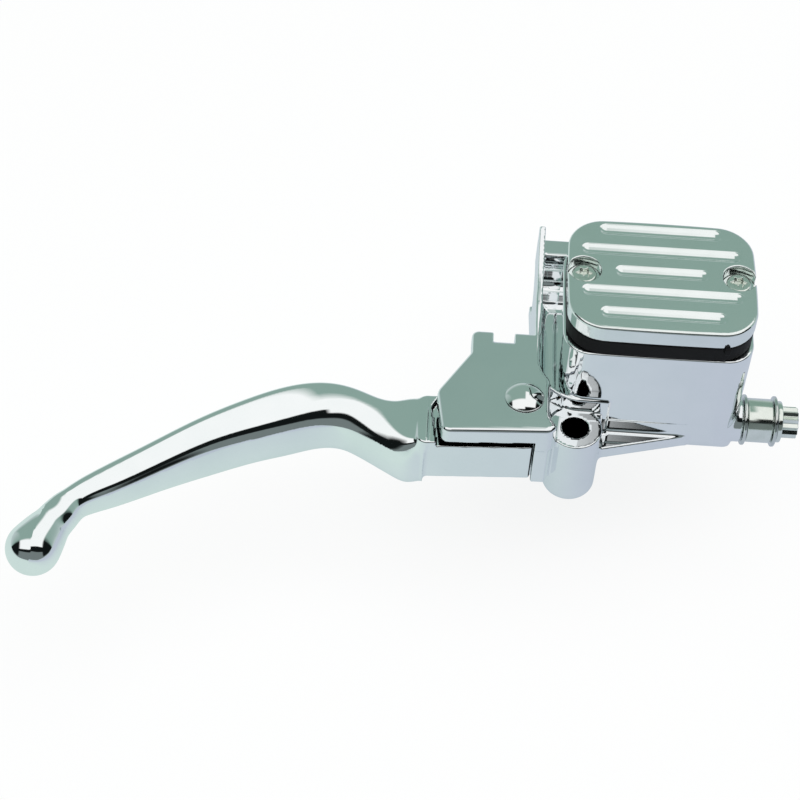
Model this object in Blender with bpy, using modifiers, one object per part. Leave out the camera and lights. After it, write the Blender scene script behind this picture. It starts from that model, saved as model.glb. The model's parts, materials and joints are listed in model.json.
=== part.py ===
"""Right-hand motorcycle front brake master cylinder with its lever.

Lengths are metres. The origin is the middle of the handlebar clamp, with the handlebar along X,
the rider behind at +Y and the reservoir cover facing +Z.
"""

import math

import bmesh
import bpy
from mathutils import Matrix, Vector

# Gaps between pieces that touch or run on each other
FIT_GAP = 0.0003
RUNNING_GAP = 0.0004
FREE_PLAY = 0.0003

# Handlebar clamp
BAR_DIAMETER = 0.0254
BAR_FIT = 0.0001
CLAMP_WIDTH = 0.022
CLAMP_SPLIT = 0.0016
CLAMP_WALL = 0.0055
CLAMP_EAR = 0.0055
CLAMP_BOLT_PITCH = 0.036
CLAMP_BOLT_EDGE = 0.0065
CLAMP_BOLT_DIAMETER = 0.006
CLAMP_BOLT_DEPTH = 0.0125
CLAMP_BOLT_HEAD = 0.0105
CLAMP_BOLT_HEAD_HEIGHT = 0.0033
CLAMP_BOLT_SOCKET = 0.004
CLAMP_BOLT_SOCKET_DEPTH = 0.0018
CLAMP_WASHER_DIAMETER = 0.012
CLAMP_WASHER_THICKNESS = 0.0012
SADDLE_WALL = 0.0059
SADDLE_DEPTH = 0.014
SADDLE_RIDGE = 0.0085
SADDLE_ROUND = 0.004
SHOULDER_ROUND = 0.0012

# Reservoir
RESERVOIR_LENGTH = 0.0676
RESERVOIR_DEPTH = 0.0528
RESERVOIR_CORNER = 0.0095
RESERVOIR_BOW = 0.0003
RESERVOIR_WALL = 0.0036
RESERVOIR_OFFSET = 0.0134
RESERVOIR_RIM = 0.0404

# Cover, gasket and cover screws
COVER_END_INSET = 0.0004
COVER_SIDE_OVERHANG = 0.0003
COVER_CORNER = 0.012
COVER_BOW = 0.0008
COVER_THICKNESS = 0.0068
COVER_EDGE = 0.0012
COVER_RECESS = 0.0035
GASKET_THICKNESS = 0.0066
GASKET_INSET = 0.0002
BELLOWS_END_MARGIN = 0.0124
BELLOWS_SIDE_MARGIN = 0.0107
BELLOWS_CORNER = 0.0079
BELLOWS_DROP = 0.009
BELLOWS_WALL = 0.0016
GROOVE_END_MARGINS = (0.0115, 0.00505, 0.0169, 0.00505, 0.0115)
GROOVE_PITCH = 0.01006
GROOVE_RADIUS = 0.0028
GROOVE_WIDTH = 0.0048
PATTERN_BACK = 0.0015
SCREW_END_MARGIN = 0.006
SCREW_DIAMETER = 0.005
SCREW_HEAD = 0.0088
SCREW_HEAD_HEIGHT = 0.0020
SCREW_SINK = 0.0046
SCREW_WELL = 0.0118
SCREW_LENGTH = 0.022
SCREW_BOSS = 0.0094
STAR_RECESS = 0.0042
STAR_RECESS_DEPTH = 0.0012
STAR_POINTS = 6
SCREW_CHAMFER = 0.0007

# Cylinder bore and what runs in it
BORE_DIAMETER = 0.0127
BORE_WALL = 0.0042
BORE_DROP = 0.002
BORE_END_WALL = 0.0147
PISTON_LENGTH = 0.0355
PISTON_STEM = 0.008
PISTON_WAIST = 0.0084
PISTON_LAND = 0.003
CUP_LENGTH = 0.0039
CUP_SEAT = 0.005
CUP_LIP = 0.0012
CUP_EDGE = 0.0005
PISTON_CHAMFER = 0.0005
SNAP_RING_THICKNESS = 0.001
SNAP_RING_WIDTH = 0.0024
SNAP_RING_GROOVE = 0.0012
SNAP_RING_OPENING = 0.006
BOOT_SEAT_DEPTH = 0.0018
BOOT_WALL = 0.0009
BOOT_FOLDS = 2
SPRING_SEAT_THICKNESS = 0.0014
SPRING_SEAT_STUB = 0.003
SPRING_WIRE = 0.0011
SPRING_TURNS = 6
SPRING_POINTS_PER_TURN = 10
SUPPLY_PORT = 0.0026
RELIEF_PORT = 0.0012
OUTLET_PORT = 0.003

# Brake line fitting
PORT_BOSS = 0.0165
PORT_BOSS_LENGTH = 0.0018
BANJO_BOLT = 0.010
BANJO_BOLT_GRIP = 0.010
BANJO_WASHER = 0.0186
BANJO_WASHER_THICKNESS = 0.0012
BANJO_SPACER = 0.0162
BANJO_SPACER_LENGTH = 0.0092
BANJO_FLANGE = 0.0152
BANJO_FLANGE_THICKNESS = 0.0018
BANJO_HEAD = 0.0118
BANJO_HEAD_HEIGHT = 0.0060
BANJO_HEAD_POINTS = 12
BANJO_HEAD_NOTCH = 0.0008
BANJO_PASSAGE = 0.004
BANJO_CHAMFER = 0.0008

# Pivot bracket
UPPER_EAR = 0.0092
LOWER_EAR = 0.0054
LOWER_EAR_RADIUS = 0.0078
EAR_EDGE = 0.0018
PIVOT_OFFSET = 0.03205
PIVOT_ARM = 0.01415
PIN_DIAMETER = 0.008
PIN_HEAD = 0.0142
PIN_HEAD_HEIGHT = 0.0034
PIN_TAIL = 0.0032
PIN_CHAMFER = 0.0006
CLIP_DIAMETER = 0.011
CLIP_THICKNESS = 0.001
CLIP_OPENING = 0.0062
CLIP_GROOVE = 0.0009
BUSHING_WALL = 0.0015
NOTCH_WIDTH = 0.0077
NOTCH_DEPTH = 0.0054
NOTCH_OFFSET = 0.0077
NOSE_ROOM = 0.0159

# Bracket outline, from the pivot: left and right, then back and front
EAR_BACK = 0.0310
EAR_BACK_LEFT = 0.0195
EAR_SHOULDER = 0.0205
EAR_WAIST = 0.001
EAR_LEFT = 0.0312
EAR_FRONT_LEFT = 0.0176
EAR_FRONT = 0.0152
EAR_FRONT_INSET = 0.0025
EAR_FRONT_ROUND = 0.003
EAR_STEP_ROUND = 0.004
EAR_TAIL_ROUND = 0.0025
EAR_SHOULDER_ROUND = 0.004
EAR_WAIST_ROUND = 0.006

# Mirror seat
MIRROR_BOSS = 0.0192
MIRROR_HOLE = 0.0096
MIRROR_OFFSET = 0.0190
MIRROR_AHEAD = 0.0052
MIRROR_SEAT_DEPTH = 0.0088
MIRROR_BOSS_LENGTH = 0.0325
MIRROR_BOSS_ROUND = 0.0045

# Flange beside the switch housing, rim, valley and web
FLANGE_OFFSET = 0.0283
FLANGE_THICKNESS = 0.0022
FLANGE_RISE = 0.009
FLANGE_SAG = 0.0026
RIM_WIDTH = 0.0016
RIM_PROUD = 0.001
RIM_RISE = 0.0006
RIM_CORNER = 0.0165
RIM_FALL_ACROSS = 0.05
RIM_FALL_AHEAD = 0.10
VALLEY_DEPTH = 0.0114
VALLEY_FILLET = 0.004
WEB_THICKNESS = 0.0055
WEB_LENGTH = 0.0325
WEB_RISE = 0.001

# Sight glass
GLASS_DIAMETER = 0.0150
GLASS_THICKNESS = 0.002
GLASS_END_MARGIN = 0.0198
GLASS_DROP = 0.015
GLASS_LIP = 0.0022
GLASS_BOSS_WALL = 0.0026
GLASS_BOSS_PROUD = 0.002
GLASS_SEAL_THICKNESS = 0.0009

# Lever
LEVER_HEIGHT = 0.0196
LEVER_EYE = 0.0184
LEVER_NOSE = 0.011
LEVER_HEEL = 0.0041
LEVER_FACE_SET_BACK = 0.0016
LEVER_BASE_REACH = 0.037
LEVER_BASE_BACK = 0.0060
LEVER_BASE_ROUND = 0.003
LEVER_SHOULDER = 0.0082
LEVER_HEEL_ROUND = 0.0008
LEVER_BLADE_LAP = 0.0025
LEVER_BLADE_WIDTH = 0.0133
LEVER_BLADE_HEIGHT = 0.0228
LEVER_BLADE_BULGE = 0.0041
LEVER_NECK_REACH = 0.00365
LEVER_NECK_FORWARD = 0.008
LEVER_BALL = 0.0195
LEVER_BALL_REACH = 0.16665
LEVER_BALL_FORWARD = 0.0656

# Blade stations from the base to the neck, as shares of its run, its forward sweep,
# its width, its height and its front bulge
LEVER_STATIONS = (
    (0.000, 0.069, 1.59, 0.98, 0.88),
    (0.043, 0.061, 1.51, 1.01, 1.22),
    (0.089, 0.047, 1.17, 1.00, 1.12),
    (0.148, 0.002, 0.87, 0.99, 1.02),
    (0.198, -0.049, 0.86, 0.99, 0.98),
    (0.253, -0.078, 0.94, 0.98, 0.98),
    (0.331, -0.066, 1.00, 0.99, 1.00),
    (0.416, 0.003, 1.00, 1.00, 1.00),
    (0.498, 0.099, 0.95, 0.97, 0.85),
    (0.619, 0.260, 0.82, 0.93, 0.78),
    (0.747, 0.476, 0.72, 0.79, 0.63),
    (0.872, 0.691, 0.67, 0.65, 0.44),
    (0.961, 0.877, 0.55, 0.54, 0.29),
    (1.000, 1.000, 0.53, 0.48, 0.24),
)

# Facets on round faces, and angles in degrees
FINE = 48
MEDIUM = 32
COARSE = 20
FEW = 12
HEXAGON = 6
CORNER_STEPS = 6
EDGE_STEPS = 3
SIDE_STEPS = 4
SHARP_ANGLE = 35
STRAIGHT_HALF_ANGLE = 88
ARC_EASE = 8
BUTTON_SWEEP = 50

# Places worked out from the sizes above
BAR_RADIUS = BAR_DIAMETER / 2 + BAR_FIT
CLAMP_BOLT_Z = CLAMP_BOLT_PITCH / 2
CLAMP_TOP = CLAMP_BOLT_Z + CLAMP_BOLT_EDGE
SADDLE_FACE = -CLAMP_SPLIT / 2
CLAMP_FACE = CLAMP_SPLIT / 2
RESERVOIR_X = RESERVOIR_OFFSET
RESERVOIR_REAR = -BAR_RADIUS - SADDLE_WALL
RESERVOIR_Y = RESERVOIR_REAR - RESERVOIR_DEPTH / 2
RESERVOIR_FRONT = RESERVOIR_REAR - RESERVOIR_DEPTH
COVER_LENGTH = RESERVOIR_LENGTH - 2 * COVER_END_INSET
COVER_DEPTH = RESERVOIR_DEPTH + 2 * COVER_SIDE_OVERHANG
BELLOWS_LENGTH = COVER_LENGTH - 2 * BELLOWS_END_MARGIN
BELLOWS_DEPTH = COVER_DEPTH - 2 * BELLOWS_SIDE_MARGIN
SCREW_REACH = COVER_LENGTH / 2 - SCREW_END_MARGIN
PATTERN_Y = RESERVOIR_Y + PATTERN_BACK
RESERVOIR_LEFT = RESERVOIR_X - RESERVOIR_LENGTH / 2
RESERVOIR_RIGHT = RESERVOIR_X + RESERVOIR_LENGTH / 2
GASKET_LOW = RESERVOIR_RIM + FIT_GAP
GASKET_HIGH = GASKET_LOW + GASKET_THICKNESS
COVER_LOW = GASKET_HIGH + FIT_GAP
COVER_HIGH = COVER_LOW + COVER_THICKNESS
SCREW_SEAT = COVER_HIGH - SCREW_SINK
SLOT_HIGH = LEVER_HEIGHT / 2 + RUNNING_GAP
SLOT_LOW = -SLOT_HIGH
EAR_HIGH = SLOT_HIGH + UPPER_EAR
EAR_LOW = SLOT_LOW - LOWER_EAR
BORE_RADIUS = BORE_DIAMETER / 2
BARREL_RADIUS = BORE_RADIUS + BORE_WALL
BORE_Y = RESERVOIR_FRONT + BARREL_RADIUS
BORE_Z = -BORE_DROP
BARREL_LOW = BORE_Z - BARREL_RADIUS
RESERVOIR_FLOOR = BORE_Z + BARREL_RADIUS
PIVOT_X = -PIVOT_OFFSET
PIVOT_Y = BORE_Y - PIVOT_ARM
PIVOT = (PIVOT_X, PIVOT_Y, 0.0)
EAR_REAR = PIVOT_Y + EAR_BACK
MIRROR_X = PIVOT_X + MIRROR_OFFSET
MIRROR_Y = PIVOT_Y - MIRROR_AHEAD
MIRROR_SEAT = EAR_HIGH - MIRROR_SEAT_DEPTH
MIRROR_LOW = MIRROR_SEAT - MIRROR_BOSS_LENGTH
SLOT_END = PIVOT_X + LEVER_HEEL + RUNNING_GAP
BLADE_START = LEVER_BASE_REACH - LEVER_BLADE_LAP
BLADE_RUN = LEVER_BALL_REACH - LEVER_NECK_REACH - BLADE_START
BLADE_SWEEP = LEVER_BALL_FORWARD - LEVER_NECK_FORWARD
FLANGE_LEFT = -FLANGE_OFFSET
FLANGE_RIGHT = FLANGE_LEFT + FLANGE_THICKNESS
FLANGE_HIGH = CLAMP_TOP + FLANGE_RISE
VALLEY_FLOOR = EAR_HIGH - VALLEY_DEPTH
PORT_FACE = RESERVOIR_RIGHT + PORT_BOSS_LENGTH
BORE_MOUTH = PIVOT_X + NOSE_ROOM
BORE_END = PORT_FACE - BORE_END_WALL
PISTON_END = PIVOT_X + LEVER_NOSE / 2 + FREE_PLAY
PISTON_HEAD = PISTON_END + PISTON_LENGTH
RING_LOW = BORE_MOUTH + BOOT_SEAT_DEPTH + FIT_GAP
RING_HIGH = RING_LOW + SNAP_RING_THICKNESS
CAVITY_CORNER = RESERVOIR_CORNER - RESERVOIR_WALL
GLASS_X = RESERVOIR_RIGHT - GLASS_END_MARGIN
GLASS_Z = RESERVOIR_RIM - GLASS_DROP
GLASS_FACE = RESERVOIR_REAR + GLASS_BOSS_PROUD
PAST = 0.005


def clear_scene():
    """Remove every object and collection that the file starts with."""
    for obj in list(bpy.data.objects):
        bpy.data.objects.remove(obj)
    for collection in list(bpy.data.collections):
        bpy.data.collections.remove(collection)


def make_collection(name):
    collection = bpy.data.collections.new(name)
    bpy.context.scene.collection.children.link(collection)
    return collection


clear_scene()
PARTS = make_collection("brake_master_cylinder")
CUTTERS = make_collection("cutters")


def make_material(name, colour, roughness, metallic):
    """A plain Principled material in the piece's own colour."""
    material = bpy.data.materials.new(name)
    material.use_nodes = True
    shader = material.node_tree.nodes["Principled BSDF"]
    shader.inputs["Base Color"].default_value = (*colour, 1.0)
    shader.inputs["Roughness"].default_value = roughness
    shader.inputs["Metallic"].default_value = metallic
    material.diffuse_color = (*colour, 1.0)
    return material


FINISHES = {
    "chrome": ((0.80, 0.83, 0.82), 0.06, 1.0),
    "steel": ((0.62, 0.63, 0.62), 0.25, 1.0),
    "zinc": ((0.66, 0.68, 0.62), 0.22, 1.0),
    "spring_steel": ((0.35, 0.36, 0.37), 0.35, 1.0),
    "aluminium": ((0.70, 0.72, 0.74), 0.30, 1.0),
    "bronze": ((0.55, 0.36, 0.16), 0.35, 1.0),
    "rubber": ((0.015, 0.015, 0.016), 0.55, 0.0),
    "glass": ((0.75, 0.78, 0.74), 0.05, 0.0),
}


def place(obj, finish=None, parent=None):
    """Make an object a piece with its own material, or a hidden cutter when no finish is given."""
    for collection in list(obj.users_collection):
        collection.objects.unlink(obj)
    if finish is None:
        CUTTERS.objects.link(obj)
        obj.hide_render = True
        obj.display_type = 'WIRE'
        return obj
    PARTS.objects.link(obj)
    obj.hide_render = False
    obj.display_type = 'TEXTURED'
    obj.data.materials.clear()
    obj.data.materials.append(make_material(obj.name, *FINISHES[finish]))
    obj.parent = parent
    return obj


def from_bmesh(name, bm):
    """Turn a finished bmesh into an object whose round faces are shaded smooth."""
    bmesh.ops.recalc_face_normals(bm, faces=bm.faces)
    mesh = bpy.data.meshes.new(name)
    bm.to_mesh(mesh)
    bm.free()
    mesh.shade_smooth()
    mesh.set_sharp_from_angle(angle=math.radians(SHARP_ANGLE))
    obj = bpy.data.objects.new(name, mesh)
    CUTTERS.objects.link(obj)
    return place(obj)


def arc(centre, radius, start, end, steps):
    """Points on an arc, with the angles in degrees."""
    angles = [math.radians(start + (end - start) * i / steps) for i in range(steps + 1)]
    return [(centre[0] + radius * math.cos(a), centre[1] + radius * math.sin(a)) for a in angles]


def rounded(corners, steps=CORNER_STEPS):
    """Close an outline of (x, y, radius) corners, with an arc at each corner that has a radius."""
    points = []
    for i, (x, y, radius) in enumerate(corners):
        here = Vector((x, y))
        before = (Vector(corners[i - 1][:2]) - here).normalized()
        after = (Vector(corners[(i + 1) % len(corners)][:2]) - here).normalized()
        half = before.angle(after) / 2
        if radius == 0 or half > math.radians(STRAIGHT_HALF_ANGLE):
            points.append((x, y))
            continue
        middle = here + (before + after).normalized() * (radius / math.sin(half))
        first = here + before * (radius / math.tan(half)) - middle
        last = here + after * (radius / math.tan(half)) - middle
        sweep = first.angle_signed(last)
        for k in range(steps + 1):
            spoke = first.copy()
            spoke.rotate(Matrix.Rotation(-sweep * k / steps, 2))
            points.append(tuple(middle + spoke))
    return points


def bowed_rectangle(length, depth, corner, bow):
    """A rounded rectangle about the origin whose sides bow outwards a little."""
    x = length / 2 - bow
    y = depth / 2 - bow
    outline = rounded([(x, -y, corner), (x, y, corner), (-x, y, corner), (-x, -y, corner)])
    points = []
    for here, after in zip(outline, outline[1:] + outline[:1]):
        long_side = math.dist(here, after) > corner
        count = SIDE_STEPS if long_side else 1
        for k in range(count):
            t = k / count
            points.append((here[0] + (after[0] - here[0]) * t, here[1] + (after[1] - here[1]) * t))
    return [
        (
            px * (1 + bow / x * (1 - (py / y) ** 2)),
            py * (1 + bow / y * (1 - (px / x) ** 2)),
        )
        for px, py in points
    ]


def moved(outline, dx, dy):
    return [(x + dx, y + dy) for x, y in outline]


TURNS = {
    'X': Matrix(((0, 0, 1, 0), (1, 0, 0, 0), (0, 1, 0, 0), (0, 0, 0, 1))),
    'Y': Matrix(((1, 0, 0, 0), (0, 0, 1, 0), (0, 1, 0, 0), (0, 0, 0, 1))),
    'Z': Matrix.Identity(4),
}


def round_off(bm, edges, radius):
    bmesh.ops.bevel(bm, geom=edges, offset=radius, segments=EDGE_STEPS, profile=0.5, affect='EDGES')


def slab(name, outline, low, high, axis='Z', edge=0.0):
    """Extrude an outline along an axis, with a rounded edge on its high end if asked.

    The outline is (y, z) for an X slab, (x, z) for a Y slab and (x, y) for a Z slab.
    """
    bm = bmesh.new()
    face = bm.faces.new([bm.verts.new((x, y, low)) for x, y in outline])
    grown = bmesh.ops.extrude_face_region(bm, geom=[face])
    lifted = [v for v in grown["geom"] if isinstance(v, bmesh.types.BMVert)]
    bmesh.ops.translate(bm, verts=lifted, vec=(0, 0, high - low))
    bmesh.ops.recalc_face_normals(bm, faces=bm.faces)
    if edge:
        middle = (low + high) / 2
        round_off(bm, [e for e in bm.edges if all(v.co.z > middle for v in e.verts)], edge)
    bmesh.ops.transform(bm, matrix=TURNS[axis], verts=bm.verts)
    return from_bmesh(name, bm)


def rod(name, radius, start, end, segments=MEDIUM, edge=0.0):
    """A cylinder between two points, with its far end rounded if asked."""
    way = Vector(end) - Vector(start)
    bm = bmesh.new()
    bmesh.ops.create_cone(
        bm, cap_ends=True, segments=segments, radius1=radius, radius2=radius, depth=way.length
    )
    if edge:
        round_off(bm, [e for e in bm.edges if all(v.co.z > 0 for v in e.verts)], edge)
    turn = way.to_track_quat('Z', 'Y').to_matrix().to_4x4()
    middle = Matrix.Translation((Vector(start) + Vector(end)) / 2)
    bmesh.ops.transform(bm, matrix=middle @ turn, verts=bm.verts)
    return from_bmesh(name, bm)


def block(name, low, high):
    """A box between two opposite corners."""
    bm = bmesh.new()
    bmesh.ops.create_cube(bm, size=1.0)
    size = Vector(high) - Vector(low)
    bmesh.ops.scale(bm, vec=size, verts=bm.verts)
    bmesh.ops.translate(bm, vec=Vector(low) + size / 2, verts=bm.verts)
    return from_bmesh(name, bm)


def capsule(name, radius, start, end):
    """A round-ended bar along X, made from a sphere whose halves are drawn apart."""
    bm = bmesh.new()
    bmesh.ops.create_uvsphere(
        bm,
        u_segments=FEW,
        v_segments=FEW - 1,
        radius=radius,
        matrix=Matrix.Rotation(math.pi / 2, 4, 'Y'),
    )
    for vertex in bm.verts:
        vertex.co += Vector(end if vertex.co.x > 0 else start)
    return from_bmesh(name, bm)


ALONG = {'X': (0.0, math.pi / 2, 0.0), 'Y': (-math.pi / 2, 0.0, 0.0), 'Z': (0.0, 0.0, 0.0)}


def turned(name, profile, axis='Z', at=(0.0, 0.0, 0.0), segments=COARSE, ring=False):
    """Turn a profile of (radius, height) points about an axis through a point.

    The profile runs down its outer side. A ring's profile closes on itself and has a bore.
    """
    mesh = bpy.data.meshes.new(name)
    count = len(profile)
    edges = [(i, i + 1) for i in range(count - 1)]
    if ring:
        edges.append((count - 1, 0))
    mesh.from_pydata([(r, 0.0, h) for r, h in profile], edges, [])
    obj = bpy.data.objects.new(name, mesh)
    CUTTERS.objects.link(obj)
    place(obj)
    screw = obj.modifiers.new("turn", 'SCREW')
    screw.axis = 'Z'
    screw.steps = segments
    screw.render_steps = segments
    screw.use_merge_vertices = True
    screw.merge_threshold = 0.000001
    screw.use_smooth_shade = True
    obj.rotation_euler = ALONG[axis]
    obj.location = at
    return obj


def tube_profile(inner, outer, low, high):
    """The profile of a plain ring, down its outer side and up its bore."""
    return [(outer, high), (outer, low), (inner, low), (inner, high)]


def group(name, objects):
    """Gather cutters in a collection of their own, so that one modifier can use them all."""
    collection = bpy.data.collections.new(name)
    CUTTERS.children.link(collection)
    for obj in objects:
        collection.objects.link(obj)
    return collection


def boolean(target, operation, name, objects):
    modifier = target.modifiers.new(name, 'BOOLEAN')
    modifier.operation = operation
    modifier.solver = 'EXACT'
    modifier.operand_type = 'COLLECTION'
    modifier.collection = group(f"{target.name}_{name}", objects)
    return target


def join(target, name, objects):
    return boolean(target, 'UNION', name, objects)


def cut(target, name, objects):
    return boolean(target, 'DIFFERENCE', name, objects)


def anchor(name, location):
    """An empty on a joint's axis, for the pieces that move with it."""
    empty = bpy.data.objects.new(name, None)
    empty.location = location
    PARTS.objects.link(empty)
    return empty


def reservoir_outline(inset, corner):
    length = RESERVOIR_LENGTH - 2 * inset
    depth = RESERVOIR_DEPTH - 2 * inset
    return moved(bowed_rectangle(length, depth, corner, RESERVOIR_BOW), RESERVOIR_X, RESERVOIR_Y)


def cover_outline(inset):
    length = COVER_LENGTH - 2 * inset
    depth = COVER_DEPTH - 2 * inset
    corner = COVER_CORNER - inset
    return moved(bowed_rectangle(length, depth, corner, COVER_BOW), RESERVOIR_X, RESERVOIR_Y)


def bellows_outline(inset):
    length = BELLOWS_LENGTH - 2 * inset
    depth = BELLOWS_DEPTH - 2 * inset
    corner = BELLOWS_CORNER - inset
    return moved(bowed_rectangle(length, depth, corner, RESERVOIR_BOW), RESERVOIR_X, RESERVOIR_Y)


def reservoir_block():
    """The outer walls, down to the bottom of the barrel."""
    outline = reservoir_outline(0.0, RESERVOIR_CORNER)
    return slab("reservoir_block", outline, BARREL_LOW, RESERVOIR_RIM)


def barrel_relief():
    """What is left off below the reservoir: the space behind the barrel and the corner ahead of it."""
    rear = BORE_Y + BARREL_RADIUS
    ceiling = RESERVOIR_FLOOR - RESERVOIR_WALL
    low = BARREL_LOW - PAST
    behind = arc((BORE_Y, BORE_Z), BARREL_RADIUS, ARC_EASE - 90, -ARC_EASE, CORNER_STEPS)
    behind += [(rear, ceiling), (PAST, ceiling), (PAST, low), (behind[0][0], low)]
    ahead = arc((BORE_Y, BORE_Z), BARREL_RADIUS, 180 + ARC_EASE, 270 - ARC_EASE, CORNER_STEPS)
    front = RESERVOIR_FRONT - PAST
    ahead += [(ahead[-1][0], low), (front, low), (front, ahead[0][1])]
    left = RESERVOIR_LEFT - PAST
    right = RESERVOIR_RIGHT + PAST
    return [
        slab("space_behind_barrel", behind, left, right, axis='X'),
        slab("corner_ahead_of_barrel", ahead, left, right, axis='X'),
    ]


def saddle_blocks():
    """The front half of the handlebar clamp, and the shoulder that carries the bar on to the flange."""
    low = -CLAMP_TOP
    inside = RESERVOIR_REAR - RESERVOIR_WALL / 2
    under = BORE_Y + BARREL_RADIUS / 2
    block_profile = rounded([
        (SADDLE_FACE, low, 0),
        (SADDLE_FACE, CLAMP_TOP, 0),
        (inside, CLAMP_TOP, 0),
        (inside, RESERVOIR_FLOOR, 0),
        (under, RESERVOIR_FLOOR - RESERVOIR_WALL / 2, 0),
        (under, BORE_Z, 0),
        (SADDLE_FACE - SADDLE_DEPTH, low, SADDLE_ROUND),
    ])
    ridge = SADDLE_FACE - SADDLE_RIDGE
    shoulder_profile = rounded([
        (SADDLE_FACE, -BAR_RADIUS, 0),
        (SADDLE_FACE, CLAMP_TOP, SHOULDER_ROUND),
        (ridge, CLAMP_TOP, SHOULDER_ROUND),
        (ridge, VALLEY_FLOOR, VALLEY_FILLET),
        (inside, VALLEY_FLOOR, 0),
        (inside, -BAR_RADIUS / 2, 0),
    ])
    half = CLAMP_WIDTH / 2
    return [
        slab("saddle_block", block_profile, -half, half, axis='X'),
        slab("saddle_shoulder", shoulder_profile, FLANGE_LEFT + FIT_GAP, FIT_GAP - half, axis='X'),
    ]


def flange_plate():
    """The thin wall beside the switch housing, which sweeps from the bracket up past the clamp."""
    start = Vector((EAR_REAR, EAR_HIGH))
    rear = SADDLE_FACE - FIT_GAP
    end = Vector((rear - FLANGE_THICKNESS, FLANGE_HIGH))
    chord = end - start
    normal = Vector((chord.y, -chord.x)).normalized()
    profile = []
    for k in range(2 * CORNER_STEPS + 1):
        t = k / (2 * CORNER_STEPS)
        profile.append(tuple(start + chord * t + normal * FLANGE_SAG * math.sin(math.pi * t)))
    profile += [
        (rear, FLANGE_HIGH - FLANGE_THICKNESS),
        (rear, -CLAMP_BOLT_Z),
        (RESERVOIR_REAR, -BAR_RADIUS),
        (EAR_REAR, SLOT_HIGH - RUNNING_GAP),
    ]
    return slab("flange_plate", profile, FLANGE_LEFT, FLANGE_RIGHT, axis='X')


def rim_outline(inset):
    """The rim that runs from the flange round the valley to the reservoir's front wall."""
    left = FLANGE_LEFT + inset
    front = RESERVOIR_FRONT - RIM_PROUD + inset
    right = RESERVOIR_LEFT + 2 * RESERVOIR_CORNER
    return rounded([
        (left, RESERVOIR_REAR, 0),
        (left, front, RIM_CORNER - inset),
        (right, front, 0),
        (right, RESERVOIR_REAR, 0),
    ], 2 * CORNER_STEPS)


def plinth():
    """The solid between the bracket and the reservoir, its top falling to the right and the front."""
    high = EAR_HIGH + RIM_RISE
    body = slab("plinth", rim_outline(0.0), BORE_Z, high)
    for vertex in body.data.vertices:
        if vertex.co.z > EAR_HIGH:
            across = vertex.co.x - FLANGE_LEFT
            ahead = EAR_REAR - vertex.co.y
            vertex.co.z = high - RIM_FALL_ACROSS * across - RIM_FALL_AHEAD * ahead
    return body


def ear_outline():
    """The upper ear in plan, anticlockwise from its front left corner."""
    x = PIVOT_X
    y = PIVOT_Y
    return rounded([
        (x - EAR_LEFT + EAR_FRONT_INSET, y - EAR_FRONT_LEFT, EAR_FRONT_ROUND),
        (MIRROR_X - MIRROR_BOSS / 2, y - EAR_FRONT, EAR_STEP_ROUND),
        (MIRROR_X, MIRROR_Y, 0),
        (RESERVOIR_LEFT, BORE_Y, 0),
        (FLANGE_RIGHT, EAR_REAR, 0),
        (x - EAR_BACK_LEFT, EAR_REAR, EAR_TAIL_ROUND),
        (x - EAR_BACK_LEFT, y + EAR_SHOULDER, EAR_SHOULDER_ROUND),
        (x - EAR_LEFT, y + EAR_WAIST, EAR_WAIST_ROUND),
    ])


def root_outline():
    """The solid root of the bracket, between the lever slot and the reservoir."""
    half = MIRROR_BOSS / 2
    front = PIVOT_Y - EAR_FRONT + FIT_GAP
    return [
        (SLOT_END, front),
        (MIRROR_X - half, front),
        (MIRROR_X - half / 2, MIRROR_Y),
        (MIRROR_X + half - FIT_GAP, MIRROR_Y),
        (MIRROR_X + half, BORE_Y),
        (RESERVOIR_LEFT + RESERVOIR_CORNER, BORE_Y + BARREL_RADIUS),
        (FLANGE_LEFT + FIT_GAP, BORE_Y + BARREL_RADIUS),
        (PIVOT_X, BORE_Y),
        (PIVOT_X, PIVOT_Y),
    ]


def bracket():
    """The upper ear and the root with the mirror's seat cut into them, and the valley behind its rim."""
    body = slab("bracket", ear_outline(), SLOT_HIGH - 2 * RUNNING_GAP, EAR_HIGH, edge=EAR_EDGE)
    join(body, "root", [slab("bracket_root", root_outline(), SLOT_LOW, MIRROR_SEAT - 2 * FIT_GAP)])
    room = MIRROR_BOSS / 2 + FIT_GAP
    floor = MIRROR_SEAT - FIT_GAP
    above = EAR_HIGH + PAST
    outline = arc((MIRROR_X, MIRROR_Y), room, 180, 360, 2 * CORNER_STEPS)
    outline += [(MIRROR_X + room, BORE_Y), (MIRROR_X - room, BORE_Y)]
    pocket = slab("mirror_seat", outline, floor, above)
    cut(body, "pocket", [pocket])
    join(body, "plinth", [plinth()])
    return cut(body, "valley", [slab("valley", rim_outline(RIM_WIDTH), VALLEY_FLOOR, above)])


def web_plate():
    """The triangular web between the mirror boss and the reservoir's front wall."""
    side = MIRROR_X + MIRROR_BOSS / 2
    right = side + WEB_LENGTH
    rear = RESERVOIR_FRONT + RESERVOIR_WALL
    top = BORE_Z + WEB_RISE
    outline = [
        (MIRROR_X, MIRROR_Y),
        (side, MIRROR_Y),
        (right, RESERVOIR_FRONT),
        (right, rear),
        (MIRROR_X, rear),
    ]
    return slab("web_plate", outline, top - WEB_THICKNESS, top)


def glass_boss():
    radius = GLASS_DIAMETER / 2 + FIT_GAP + GLASS_BOSS_WALL
    return rod(
        "glass_boss",
        radius,
        (GLASS_X, RESERVOIR_REAR - RESERVOIR_WALL / 2, GLASS_Z),
        (GLASS_X, GLASS_FACE, GLASS_Z),
    )


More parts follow.
